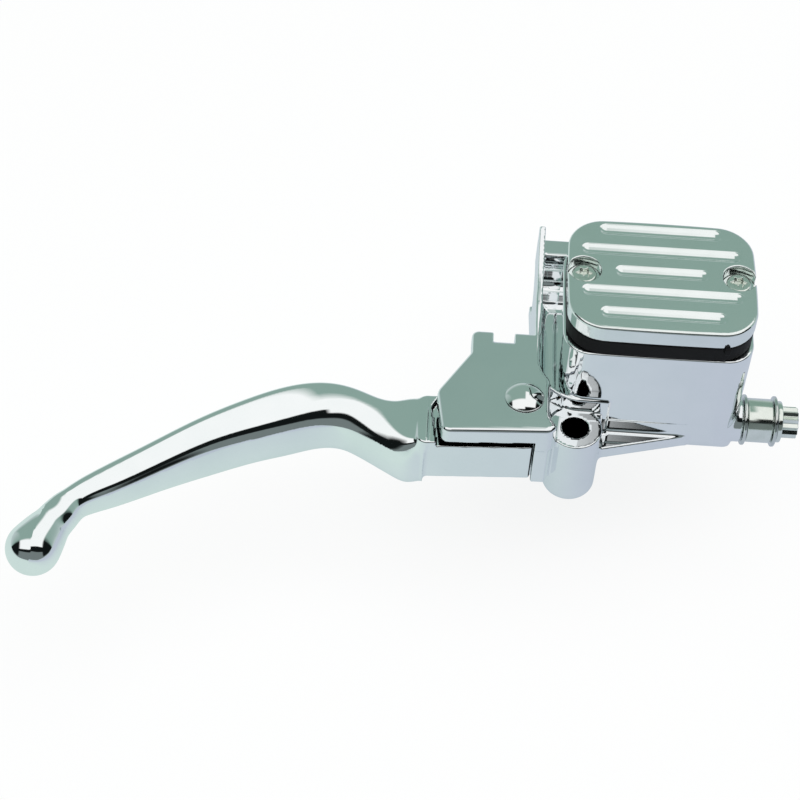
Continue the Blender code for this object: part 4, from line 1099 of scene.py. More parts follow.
def dress(piece: bpy.types.Object, finish: Finish, body: Body, *stands_for: str) -> bpy.types.Object:
    """Give a new piece its finish and place it on its body.

    Args:
        piece: The piece.
        finish: Its finish, named for the record's slot.
        body: The body that it rides on.
        stands_for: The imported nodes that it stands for.

    Returns:
        The piece.
    """
    piece.data.materials.clear()
    piece.data.materials.append(finish.material())
    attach(piece, body.value)
    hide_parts(*stands_for)
    LOG.info("%s: %d faces, %s", piece.name, len(piece.data.polygons), finish.name)
    return piece


@dataclass
class Casting:
    """The chromed casting: reservoir, barrel, handlebar saddle, lever bracket and mirror boss."""

    cell: float = 0.76
    box: tuple[Point, Point] = ((-63.1, -92.6, -24.6), (49.0, -0.7, 40.5))
    centre: Place = RESERVOIR
    length: float = 67.6
    depth: float = 52.8
    corner: float = 9.5
    bow: float = 0.3
    wall: float = 3.6
    rim: float = 40.4
    floor: float = 8.55
    inside: float = -20.5
    wall_foot: float = 4.95
    barrel_top: float = 6.5
    barrel_ends: Span = (-20.4, 47.2)
    port_radius: float = 8.25
    port_ends: Span = (37.7, HOSE_FACE)
    glass_boss: float = 10.4
    bore: Place = BORE
    barrel: float = 10.55
    pivot: Place = PIVOT
    mirror: Place = MIRROR
    mirror_radius: float = 9.6
    mirror_seat: float = 10.6
    ear_high: float = 19.4
    ear_rear: float = -44.1
    slot: float = 10.2
    ear_gap: float = 2.2
    stem_hole: float = 4.8
    pin_hole: float = 4.3
    bolt_hole: float = 3.3
    screw_hole: float = 2.8
    slot_end: float = SLOT_END
    flange: Span = (-28.3, -26.1)
    flange_bow: float = 2.6
    web_end: float = 29.05
    saddle_face: float = -0.8
    clamp_half: float = 11.0
    clamp_top: float = CLAMP_TOP
    bolt_z: float = CLAMP_BOLT_Z
    bar_radius: float = BAR_RADIUS
    screws: Span = COVER_SCREWS
    screw_y: float = COVER_SCREW_Y
    glass: Place = (GLASS_Z, GLASS_X)

    def reservoir(self) -> Solid:
        """The walls, drawn down over the front and under the barrel.

        Returns:
            The form.
        """
        outline = bowed(self.centre, self.length, self.depth, self.corner, self.bow)
        walls = prism(outline, self.wall_foot, self.rim, edge=0.7)
        y, z = self.bore
        profile = arc((y, z), self.barrel, 180, 360, 32)
        profile += [(y + self.barrel, self.barrel_top), (y - self.barrel, self.barrel_top)]
        barrel = prism(profile, *self.barrel_ends, Axis.X, edge=0.8)
        barrel = barrel.keep(prism(outline, -13.0, 12.0), ease=0.6)
        port = rod((y, z), self.port_radius, *self.port_ends, Axis.X, edge=0.5)
        glass = rod(self.glass, self.glass_boss, self.inside, -16.7, Axis.Y, edge=0.7)
        return walls.join(barrel).join(glass, port, fillet=1.2)

    def saddle(self) -> Solid:
        """The front half of the handlebar clamp, its shoulder and the thin flange beside it.

        Returns:
            The form.
        """
        face, top, inside = self.saddle_face, self.clamp_top, self.inside
        block_profile = rounded([
            (face, -top, 1.0),
            (face, top, 1.0),
            (inside, top, 0),
            (inside, self.floor, 0),
            (-55.7, 6.75, 0),
            (-55.7, -2.0, 0),
            (face - 14.0, -top, 4.0),
        ])
        ridge = face - 8.5
        shoulder_profile = rounded([
            (face, -self.bar_radius, 0),
            (face, top, 1.2),
            (ridge, top, 1.2),
            (ridge, 8.0, 4.0),
            (inside, 8.0, 0),
            (inside, -6.4, 0),
        ])
        saddle = prism(block_profile, -self.clamp_half, self.clamp_half, Axis.X, edge=0.8)
        shoulder = prism(shoulder_profile, self.flange[0] + 0.3, -10.4, Axis.X, edge=0.5)
        return saddle.join(shoulder, fillet=0.8).join(self.flange_plate(), fillet=0.8)

    def flange_plate(self) -> Solid:
        """The thin wall that sweeps from the bracket up past the clamp.

        Returns:
            The form.
        """
        start = Vector((self.ear_rear, self.ear_high))
        rear = self.saddle_face - 0.3
        end = Vector((rear - 2.2, 33.5))
        chord = end - start
        normal = Vector((chord.y, -chord.x)).normalized()
        profile = []
        for t in np.linspace(0.0, 1.0, 25):
            profile.append(tuple(start + chord * t + normal * self.flange_bow * math.sin(math.pi * t)))
        profile += [(rear, 31.3), (rear, -self.bolt_z), (-18.7, -self.bar_radius), (self.ear_rear, 9.8)]
        return prism(profile, *self.flange, Axis.X, edge=0.5)

    def rim_outline(self, inset: float) -> list:
        """The rim that runs from the flange round the valley to the reservoir's front wall.

        Args:
            inset: How far the outline is drawn in.

        Returns:
            The outline's points.
        """
        return rounded([
            (self.flange[0] + inset, -18.7, 0),
            (self.flange[0] + inset, -72.5 + inset, 16.5 - inset),
            (-1.4, -72.5 + inset, 0),
            (-1.4, -18.7, 0),
        ], 20)

    def plinth(self) -> Solid:
        """The solid between the bracket and the reservoir, its top falling to the right and the front.

        Returns:
            The form.
        """
        outline = self.rim_outline(0.0)
        high = self.ear_high + 0.6

        def distance(x: np.ndarray, y: np.ndarray, z: np.ndarray) -> np.ndarray:
            """The distance to the plinth below its slanting top."""
            fall = 0.05 * (x - self.flange[0]) + 0.10 * (self.ear_rear - y)
            return eased_max(outline_distance(outline, x, y), np.maximum(z - high + fall, -2.0 - z), 0.7)

        return Solid(distance)

    def ear_outline(self) -> list:
        """The upper ear in plan.

        Returns:
            The outline's points.
        """
        x, y = self.pivot
        return rounded([
            (x + EAR_FRONT[0], y + EAR_FRONT[1], 3.0),
            (self.mirror[0] - self.mirror_radius, y - 15.2, 4.0),
            (*self.mirror, 0),
            (-20.4, self.bore[0], 0),
            (self.flange[1], self.ear_rear, 0),
            (x + EAR_BACK, self.ear_rear, 2.5),
            (x + EAR_BACK, y + 20.5, 4.0),
            (x + EAR_SIDE[0], y + EAR_SIDE[1], 6.0),
        ])

    def bracket(self) -> Solid:
        """The upper ear and its root with the mirror's seat cut in, and the valley behind its rim.

        Returns:
            The form.
        """
        ear = prism(self.ear_outline(), 7.0, self.ear_high, edge=1.8)
        rear = self.bore[0] + self.barrel
        mx, my = self.mirror
        root = prism([
            (self.slot_end, -90.0),
            (mx - 9.6, -90.0),
            (mx - 4.8, my),
            (mx + 9.3, my),
            (mx + 9.6, self.bore[0]),
            (-10.9, rear),
            (self.flange[0] + 0.3, rear),
            (self.pivot[0], self.bore[0]),
            self.pivot,
        ], -10.2, 10.0, edge=0.4)
        room = self.mirror_radius + 0.3
        scoop = arc(self.mirror, room, 180, 360, 32)
        scoop += [(mx + room, self.bore[0]), (mx - room, self.bore[0])]
        seat = prism(scoop, self.mirror_seat - 0.3, 40.0, edge=0.5)
        valley = prism(self.rim_outline(1.6), 8.0, 48.0, edge=4.0)
        body = ear.join(root).cut(seat, ease=1.2)
        return body.join(self.plinth(), fillet=0.6).cut(valley, ease=0.9)

    def lower_ear(self) -> Solid:
        """The lower ear, which closes the room for the lever's nose.

        Returns:
            The form.
        """
        outline = arc(self.pivot, 7.8, 90, 270, 24)
        outline += [
            (self.mirror[0], self.pivot[1] - 7.8),
            (self.mirror[0] + 9.3, self.bore[0]),
            (-10.9, self.bore[0] + self.barrel),
            (self.flange[0] + 0.3, self.bore[0] + self.barrel),
        ]
        return prism(outline, -15.6, 0.0, edge=0.8)

    def web(self) -> Solid:
        """The triangular web between the mirror boss and the reservoir's front wall.

        Returns:
            The form.
        """
        x, y = self.mirror
        front, rear = -71.5, -67.9
        outline = [self.mirror, (x + 9.6, y), (self.web_end, front), (self.web_end, rear), (x, rear)]
        return prism(outline, -6.5, -1.0, edge=0.8)

    def mirror_boss(self) -> Solid:
        """The round boss that carries the mirror's stem, rounded below and flat on its seat."""
        lower = rod(self.mirror, self.mirror_radius, -21.9, 30.0, edge=4.5)
        return lower.keep(rod(self.mirror, 30.0, -40.0, self.mirror_seat), ease=0.8)

    def hollows(self) -> list[Solid]:
        """The fluid's room, the bore, the lever's room and every hole.

        Returns:
            The forms to take away from the casting.
        """
        inset = self.wall
        inner = bowed(self.centre, self.length - 2 * inset, self.depth - 2 * inset, 5.9, self.bow)
        y, z = self.bore
        bore = turned([
            (0.0, 60.0), (5.3, 60.0), (5.3, 38.7), (1.5, 38.7), (1.5, 34.3), (6.35, 34.3), (6.35, -13.0),
            (7.55, -13.0), (7.55, -14.35), (6.95, -14.35), (6.95, -40.0), (0.0, -40.0),
        ], (y, z), Axis.X)
        bosses = [rod((x, self.screw_y), 4.7, 6.0, self.rim + 5) for x in self.screws]
        cavity = prism(inner, self.floor, self.rim + 8, edge=2.0).cut(*bosses, ease=1.0)
        slot_top = self.slot + self.ear_gap
        lever_slot = block((-80.0, -110.0, -self.slot), (self.slot_end, -39.1, slot_top), 0.2)
        eye_room = rod(self.pivot, 9.6, -self.slot, self.slot)
        nose_room = block((*self.pivot, -9.55), (-16.15, -53.4, 5.55), 0.5)
        pin_way = rod(self.pivot, self.pin_hole, -25.0, 30.0)
        switch_notch = block((-43.6, -49.5, 5.2), (-35.9, -30.0, 30.0), 0.4)
        stem_way = rod(self.mirror, self.stem_hole, -30.0, 30.0)
        bar_way = rod((0.0, 0.0), self.bar_radius, -40.0, 20.0, Axis.X)
        bolt_ways = [rod((s * self.bolt_z, 0.0), self.bolt_hole, -13.6, 5.0, Axis.Y) for s in (-1, 1)]
        screw_ways = [rod((x, self.screw_y), self.screw_hole, 27.5, 50.0) for x in self.screws]
        glass_seat = rod(self.glass, 7.8, self.inside, 0.0, Axis.Y)
        glass_way = rod(self.glass, 5.3, -30.0, 0.0, Axis.Y)
        fluid_way = rod((7.0, y), 1.3, z, 12.0)
        rooms = [cavity, bore, lever_slot, eye_room, nose_room, pin_way, switch_notch, stem_way, bar_way]
        return rooms + bolt_ways + screw_ways + [glass_seat, glass_way, fluid_way]

    def form(self) -> Solid:
        """The whole casting.

        Returns:
            The form.
        """
        body = self.reservoir().join(self.saddle(), fillet=2.0)
        body = body.join(self.bracket(), fillet=1.2)
        body = body.join(self.lower_ear(), fillet=0.6)
        body = body.join(self.mirror_boss(), fillet=1.0).join(self.web(), fillet=1.6)
        return body.cut(*self.hollows(), ease=0.5)

    def build(self) -> None:
        """Skin the casting."""
        skin = Skin(*self.box, self.cell)
        dress(skin.mesh("chromed_housing", self.form()), HOUSING_CHROME, Body.FIXED, "housing")


@dataclass
class RearClamp:
    """The rear half of the handlebar clamp with its two bolts and washers."""

    cell: float = 0.55
    bolt_cell: float = 0.3
    half_width: float = 11.0
    outer: float = 18.3
    bore: float = BAR_RADIUS
    face: float = 0.8
    seat: float = 6.3
    top: float = CLAMP_TOP
    bolt_z: float = CLAMP_BOLT_Z
    bolt_end: float = -13.3
    head_seat: float = 8.1
    head_top: float = 11.4
    head_radius: float = 5.25
    socket: float = 4.0

    def half(self) -> Solid:
        """The clamp half with its spot faces and holes.

        Returns:
            The form.
        """
        reach = math.degrees(math.asin(self.seat / self.outer))
        profile = [(self.face, -self.top), (self.seat, -self.top)]
        profile += arc((0.0, 0.0), self.outer, reach - 90, 90 - reach, 40)
        profile += [(self.seat, self.top), (self.face, self.top)]
        body = prism(profile, -self.half_width, self.half_width, Axis.X, edge=0.9)
        bore = rod((0.0, 0.0), self.bore, -30.0, 30.0, Axis.X)
        holes = [rod((s * self.bolt_z, 0.0), 3.3, -5.0, 20.0, Axis.Y) for s in (-1, 1)]
        spots = [rod((s * self.bolt_z, 0.0), 6.4, self.seat, 40.0, Axis.Y, edge=0.4) for s in (-1, 1)]
        return body.cut(bore, *holes, *spots, ease=0.5)

    def bolt(self, name: str, z: float) -> bpy.types.Object:
        """A button head bolt with a hexagon socket.

        Args:
            name: The piece's name.
            z: The height of the bolt's axis.

        Returns:
            The new object, in metres.
        """
        low, head, top, reach = self.bolt_end, self.head_seat, self.head_top, self.head_radius + 0.05
        profile = [(0.0, top), *self.button()]
        profile += [(3.0, head), (3.0, low + 0.6), (2.4, low), (0.0, low)]
        corner = self.socket / math.sqrt(3)
        hexagon = star(3, corner, corner, (z, 0.0))
        solid = turned(profile, (z, 0.0), Axis.Y).cut(prism(hexagon, 9.6, 14.0, Axis.Y), ease=0.2)
        skin = Skin((-reach, low, z - reach), (reach, top, z + reach), self.bolt_cell)
        return skin.mesh(name, solid)

    def button(self) -> list:
        """The domed outline of the bolt's head, from the top down.

        Returns:
            Points of (radius, place along the bolt).
        """
        dome = arc((0.0, 0.0), self.head_radius, 50, 0, 12)
        scale = (self.head_top - self.head_seat) / dome[0][1]
        return [(r, self.head_seat + h * scale) for r, h in dome]

    def build(self) -> None:
        """Build the clamp half, the bolts and the washers."""
        high = (self.half_width, self.outer, self.top)
        skin = Skin((-self.half_width, self.face, -self.top), high, self.cell)
        dress(skin.mesh("chromed_rear_clamp", self.half()), HOUSING_CHROME, Body.FIXED, "handlebar_clamp")
        for side, z in (("upper", self.bolt_z), ("lower", -self.bolt_z)):
            dress(self.bolt(f"button_bolt_{side}", z), ZINC_STEEL, Body.FIXED, f"clamp_bolt_{side}")
            washer = Lathe.spin(
                f"flat_washer_{side}",
                [(3.3, 6.6, 0.15), (6.0, 6.6, 0.25), (6.0, 7.8, 0.25), (3.3, 7.8, 0.15)],
                (0.0, 0.0, z),
                Axis.Y,
            )
            dress(washer, BRIGHT_STEEL, Body.FIXED, f"clamp_washer_{side}")


@dataclass
class ReservoirTop:
    """The ribbed cover, its gasket with the bellows, its two screws and the sight glass."""

    cover_cell: float = 0.4
    gasket_cell: float = 0.6
    screw_cell: float = 0.26
    centre: Place = RESERVOIR
    length: float = 66.8
    depth: float = 53.4
    low: float = 47.6
    high: float = 54.4
    corner: float = 12.0
    bow: float = 0.8
    edge: float = 1.3
    pattern_y: float = COVER_SCREW_Y
    pitch: float = 10.06
    grooves: tuple[float, ...] = (43.8, 56.7, 33.0, 56.7, 43.8)
    groove_width: float = 4.8
    groove_radius: float = 3.6
    screws: Span = COVER_SCREWS
    screw_head: float = 4.4
    screw_shank: float = 2.5
    well: float = 5.9
    seat: float = 49.8
    glass: Point = (GLASS_X, 0.0, GLASS_Z)
    glass_radius: float = 7.5
    glass_faces: Span = (-17.0, -19.0)
    seal_bore: float = 5.3
    seal_faces: Span = (-20.2, -19.3)
    seal_edge: float = 0.3
    gasket: Span = (40.7, 47.3)
    bellows: Place = (42.0, 32.0)

    def outline(self, inset: float) -> list:
        """The cover's outline, drawn in by an inset."""
        length, depth = self.length - 2 * inset, self.depth - 2 * inset
        return bowed(self.centre, length, depth, self.corner - inset, self.bow)

    def tub(self, inset: float) -> list:
        """The bellows's outline, drawn in by an inset."""
        length, depth = self.bellows
        return bowed(self.centre, length - 2 * inset, depth - 2 * inset, 7.9 - inset, 0.3)

    def cover(self) -> Solid:
        """The cover with its milled grooves, screw wells and the recess below.

        Returns:
            The form.
        """
        body = prism(self.outline(0.0), self.low - 8.0, self.high, edge=self.edge)
        body = body.cut(prism(self.outline(-5.0), self.low - 20.0, self.low), ease=0.5)
        lift = math.sqrt(self.groove_radius**2 - (self.groove_width / 2) ** 2)
        cutters = []
        for i, length in enumerate(self.grooves):
            y = self.pattern_y + (i - (len(self.grooves) - 1) / 2) * self.pitch
            reach = length - self.groove_width
            start = (self.centre[0] - reach / 2, y, self.high + lift)
            cutters.append(capsule(start, reach, self.groove_radius))
        body = body.cut(*cutters, ease=0.35)
        wells = [rod((x, self.pattern_y), self.well, self.seat, 70.0, edge=0.3) for x in self.screws]
        ways = [rod((x, self.pattern_y), 2.8, 40.0, 70.0) for x in self.screws]
        recess = prism(self.tub(0.0), 30.0, self.low + 3.5, edge=0.6)
        return body.cut(*wells, ease=0.6).cut(*ways, recess, ease=0.3)

    def gasket_form(self) -> Solid:
        """The gasket's rim with its locating nub, and the bellows that hangs from it.

        Returns:
            The form.
        """
        low, high = self.gasket
        rim = prism(self.outline(0.2), low, high, edge=0.6)
        nub = block((35.2, -72.6, high - 2.0), (37.4, -71.0, high + 0.9), 0.25)
        tub = prism(self.tub(0.0), low - 9.0, low + 3.3, edge=1.0)
        hollow = prism(self.tub(1.6), low - 7.4, 70.0, edge=0.8)
        ways = [rod((x, self.pattern_y), 2.8, 30.0, 60.0) for x in self.screws]
        return rim.join(nub, fillet=0.3).join(tub, fillet=1.0).cut(hollow, *ways, ease=0.4)

    def screw(self, name: str, x: float) -> bpy.types.Object:
        """A cover screw with a star recess.

        Args:
            name: The piece's name.
            x: The place of the screw's axis.

        Returns:
            The new object, in metres.
        """
        low, top, y = self.seat + 0.3, self.seat + 2.3, self.pattern_y
        end = self.seat - 22.0
        profile = rounded([
            (0.0, top, 0),
            (self.screw_head, top, 0.7),
            (self.screw_head, low, 0.15),
            (self.screw_shank, low, 0.1),
            (self.screw_shank, end, 0.5),
            (0.0, end, 0),
        ], 6)
        recess = prism(star(6, 2.9, 1.8, (x, y)), top - 1.6, top + 5.0)
        solid = turned(profile, (x, y), Axis.Z).cut(recess, ease=0.25)
        reach = self.screw_head
        skin = Skin((x - reach, y - reach, end), (x + reach, y + reach, top), self.screw_cell)
        return skin.mesh(name, solid)

    def build(self) -> None:
        """Build the cover, gasket, screws, window and seal."""
        x, y = self.centre
        half_x, half_y = self.length / 2, self.depth / 2
        low, high = (x - half_x, y - half_y), (x + half_x, y + half_y)
        skin = Skin((*low, self.low), (*high, self.high), self.cover_cell)
        dress(skin.mesh("ribbed_cover", self.cover()), COVER_CHROME, Body.FIXED, "reservoir_cover")
        skin = Skin((*low, self.gasket[0] - 9.0), (*high, self.gasket[1]), self.gasket_cell)
        dress(skin.mesh("rubber_gasket", self.gasket_form()), BLACK_RUBBER, Body.FIXED, "cover_gasket")
        for side, place in zip(("left", "right"), self.screws):
            screw = self.screw(f"star_screw_{side}", place)
            dress(screw, ZINC_STEEL, Body.FIXED, f"cover_screw_{side}")
        self.window()

    def window(self) -> None:
        """Build the window of the fluid level and its seal."""
        radius, (outside, inside) = self.glass_radius, self.glass_faces
        profile = [(0.0, outside, 0), (radius, outside, 0.5), (radius, inside, 0.2), (0.0, inside, 0)]
        pane = Lathe.spin("fluid_window", profile, self.glass, Axis.Y, False)
        dress(pane, WINDOW, Body.FIXED, "sight_glass")
        far, near = self.seal_faces
        corners = ((self.seal_bore, far), (radius, far), (radius, near), (self.seal_bore, near))
        profile = [(*corner, self.seal_edge) for corner in corners]
        seal = Lathe.spin("window_seal", profile, self.glass, Axis.Y)
        dress(seal, BLACK_RUBBER, Body.FIXED, "sight_glass_seal")


class Spline:
    """Natural cubic curves through rows of values, with the first column as their run."""

    def __init__(self, rows: np.ndarray) -> None:
        """Solve for the bend at each row.

        Args:
            rows: Rows of the run and the values there.
        """
        self.run, self.rows = rows[:, 0], rows[:, 1:]
        count = len(rows)
        gap = np.diff(self.run)
        matrix, right = np.eye(count), np.zeros(self.rows.shape)
        rise = np.diff(self.rows, axis=0) / gap[:, None]
        for i in range(1, count - 1):
            matrix[i, i - 1 : i + 2] = gap[i - 1], 2 * (gap[i - 1] + gap[i]), gap[i]
            right[i] = 6 * (rise[i] - rise[i - 1])
        self.bend = np.linalg.solve(matrix, right)

    def parts(self, at: np.ndarray) -> tuple[np.ndarray, ...]:
        """The row before each place, the gap there and the shares of its two rows.

        Args:
            at: Places along the run.

        Returns:
            The row's number, the gap to the next row, and the shares of this row and the next.
        """
        index = np.clip(np.searchsorted(self.run, at) - 1, 0, len(self.run) - 2)
        gap = self.run[index + 1] - self.run[index]
        far = (at - self.run[index]) / gap
        return index, gap, 1 - far, far

    def value(self, at: np.ndarray, column: int) -> np.ndarray:
        """The value of a column at each place.

        Args:
            at: Places along the run.
            column: The number of the column.

        Returns:
            The value at each place.
        """
        index, gap, near, far = self.parts(at)
        low, high = self.rows[index, column], self.rows[index + 1, column]
        curve = (near**3 - near) * self.bend[index, column] + (far**3 - far) * self.bend[index + 1, column]
        return near * low + far * high + curve * gap**2 / 6

    def slope(self, at: np.ndarray, column: int) -> np.ndarray:
        """The slope of a column at each place.

        Args:
            at: Places along the run.
            column: The number of the column.

        Returns:
            The slope at each place.
        """
        index, gap, near, far = self.parts(at)
        rise = (self.rows[index + 1, column] - self.rows[index, column]) / gap
        low, high = self.bend[index, column], self.bend[index + 1, column]
        return rise + ((3 * far**2 - 1) * high - (3 * near**2 - 1) * low) * gap / 6


@dataclass
class BrakeLever:
    """The forged lever with its bush, and the domed pin that it turns on."""

    cell: float = 0.6
    pivot: Place = PIVOT
    half_height: float = 9.8
    lowest: float = -13.4
    reach: float = 37.0
    ball_reach: float = 166.65
    ball_forward: float = 65.6
    ball_radius: float = 9.5
    eye_radius: float = 9.2
    eye_bore: float = 6.1
    nose_radius: float = 5.5
    nose_reach: float = 14.15
    nose_heights: Span = (-8.35, 4.35)
    step_height: float = 7.6
    step_gap: float = 1.5
    bush_bore: float = 4.3
    bush_radius: float = 5.8
    neck: tuple[tuple[float, float, float, float], ...] = ((163.0, 59.0, 1.6, 7.4), (158.6, 52.3, 2.6, 5.6))
    stations: tuple[tuple[float, float, float, float, float, float, float], ...] = (
        (34.5, 4.0, 21.2, 22.4, 3.6, 0.4, 1.6),
        (40.0, 3.5, 20.1, 23.0, 5.0, 2.2, 3.0),
        (46.0, 2.7, 15.5, 22.7, 4.6, 3.6, 4.4),
        (53.5, 0.1, 11.6, 22.6, 4.2, 4.0, 5.0),
        (60.0, -2.8, 11.4, 22.5, 4.0, 4.0, 5.0),
        (67.0, -4.5, 12.5, 22.3, 4.0, 4.0, 4.6),
        (77.0, -3.8, 13.3, 22.6, 4.1, 3.9, 4.0),
        (88.0, 0.2, 13.3, 22.8, 4.1, 3.7, 3.6),
        (98.5, 5.7, 12.7, 22.1, 3.5, 3.5, 3.3),
        (114.0, 15.0, 10.9, 21.2, 3.2, 3.0, 3.0),
        (130.5, 27.4, 9.6, 18.0, 2.6, 2.6, 2.8),
        (146.5, 39.8, 8.9, 14.9, 1.8, 2.2, 2.6),
        (158.0, 50.5, 7.3, 12.3, 1.2, 1.8, 2.4),
        (163.0, 57.6, 7.0, 11.0, 1.0, 1.6, 2.4),
    )

    def blade(self) -> Solid:
        """The blade: a crowned top that leans forward, a rounded front edge and a full front face.

        Returns:
            The form.
        """
        run = Spline(np.array(self.stations))
        first, last = self.stations[0][0], self.stations[-1][0]
        top = self.half_height

        def distance(x: np.ndarray, y: np.ndarray, z: np.ndarray) -> np.ndarray:
            """The distance to the blade.

            Args:
                x: First coordinates of the points.
                y: Second coordinates of the points.
                z: Third coordinates of the points.

            Returns:
                The distance of each point, negative inside.
            """
            reach, forward = np.broadcast_arrays(self.pivot[0] - x, self.pivot[1] - y)
            foot = reach
            for _ in range(4):
                at, slope = run.value(foot, 0), run.slope(foot, 0)
                step = (reach - foot + (forward - at) * slope) / (1 + slope**2)
                foot = np.clip(foot + 0.8 * step, first, last)
            at, slope = run.value(foot, 0), run.slope(foot, 0)
            size = np.sqrt(1 + slope**2)
            ahead = (forward - at - slope * (reach - foot)) / size
            over = (np.abs(reach - (first + last) / 2) - (last - first) / 2) / size
            width, height, bulge, lean, crisp = (run.value(foot, k) for k in range(1, 6))
            share = np.clip((ahead + width / 2) / width, 0.0, 1.6)
            down = np.clip((top - z) / height, 0.0, 1.2)
            crown = z - top + lean * share**1.6
            tuck = 0.35 * lean * np.maximum(1 - 3 * down, 0.0)
            front = ahead - width / 2 + tuck - bulge * np.sin(math.pi * down / 1.5)
            back = -ahead - width / 2 + 0.06 * width * (2 * down - 1) ** 2
            below = top - height - z
            upper = eased_max(eased_max(crown, front, crisp), back, 3.0)
            return np.maximum(eased_max(upper, below, 5.0), over)

        return Solid(distance)

    def base(self) -> Solid:
        """The flat base in the slot, its eye and the nose that pushes the piston.

        Returns:
            The form.
        """
        px, py = self.pivot
        outline = rounded([
            (px - self.reach, py - 16.0, 3.0),
            (px + 4.1, py - 13.6, 0.8),
            (px + 4.1, py, 0),
            (px, py + 8.2, 0),
            (px - 5.5, py + 8.2, 3.0),
            (px - self.reach, py + 6.0, 3.0),
        ])
        half, high = self.nose_radius, self.half_height
        nose = arc((px, py + self.nose_reach), half, 0, 180, 24) + [(px - half, py), (px + half, py)]
        flat = prism(outline, -high, high, edge=0.7)
        eye = rod(self.pivot, self.eye_radius, -high, high, edge=0.5)
        return flat.join(eye, prism(nose, *self.nose_heights, edge=0.6))

    def step(self) -> Solid:
        """The room above the base, which lets it run under the bracket's ear with a dark gap.

        Returns:
            The form to take away from the lever.
        """
        x, y = self.pivot
        gap, ahead, behind, far = self.step_gap, y - 30.0, y + 22.5, x + 20.0
        outline = rounded([
            (x + EAR_FRONT[0] - gap, ahead, 0),
            (x + EAR_FRONT[0] - gap, y + EAR_FRONT[1], 2.0),
            (x + EAR_SIDE[0] - gap, y + EAR_SIDE[1], 6.0),
            (x + EAR_BACK - gap, behind, 0),
            (far, behind, 0),
            (far, ahead, 0),
        ])
        return prism(outline, self.step_height, 40.0, edge=0.3)

    def form(self) -> Solid:
        """The whole lever.

        Returns:
            The form.
        """
        px, py = self.pivot
        knob = ball((px - self.ball_reach, py - self.ball_forward, 0.0), self.ball_radius)
        neck = [ball((px - u, py - v, w), r) for u, v, w, r in self.neck]
        body = self.base().join(self.blade(), fillet=1.8).join(*neck, knob, fillet=4.0)
        return body.cut(self.step(), rod(self.pivot, self.eye_bore, -20.0, 20.0), ease=0.5)

    def build(self) -> None:
        """Build the lever, the bush and the pin."""
        px, py = self.pivot
        beyond, ahead = self.ball_reach + self.ball_radius, self.ball_forward + self.ball_radius
        low = (px - beyond, py - ahead, self.lowest)
        high = (px + self.eye_radius + 0.1, py + self.nose_reach + self.nose_radius + 0.05, self.half_height)
        skin = Skin(low, high, self.cell)
        dress(skin.mesh("chromed_lever", self.form()), LEVER_CHROME, Body.LEVER, "brake_lever")
        at = (px, py, 0.0)
        bore, radius, end = self.bush_bore, self.bush_radius, self.half_height
        profile = [(bore, -end, 0.3), (radius, -end, 0.2), (radius, end, 0.2), (bore, end, 0.3)]
        bush = Lathe.spin("bronze_bush", profile, at, Axis.Z)
        dress(bush, BRONZE, Body.LEVER, "pivot_bushing")
        dress(self.pin(at), PIN_CHROME, Body.FIXED, "pivot_pin")

    @staticmethod
    def pin(at: Point) -> bpy.types.Object:
        """The pivot pin with its domed head and the groove for its clip.

        Args:
            at: A point on the pin's axis.

        Returns:
            The new object, in metres.
        """
        seat, head, rise = 19.7, 7.1, 3.1
        radius = (head**2 + rise**2) / (2 * rise)
        spread = math.degrees(math.asin((head - 0.25) / radius))
        dome = arc((0.0, seat + rise - radius), radius, 90, 90 - spread, 16)
        shank, groove, (high, low), end = 4.0, 3.1, (-15.75, -17.2), -18.8
        profile = [(r, h, 0) for r, h in dome]
        profile += [(head, seat + 0.25, 0.2), (head, seat, 0.1), (shank, seat, 0), (shank, high, 0)]
        profile += [(groove, high, 0), (groove, low, 0), (shank, low, 0), (shank, end + 0.6, 0)]
        profile += [(3.4, end, 0.2), (0.0, end, 0)]
        return Lathe.spin("domed_pivot_pin", profile, at, Axis.Z, False)


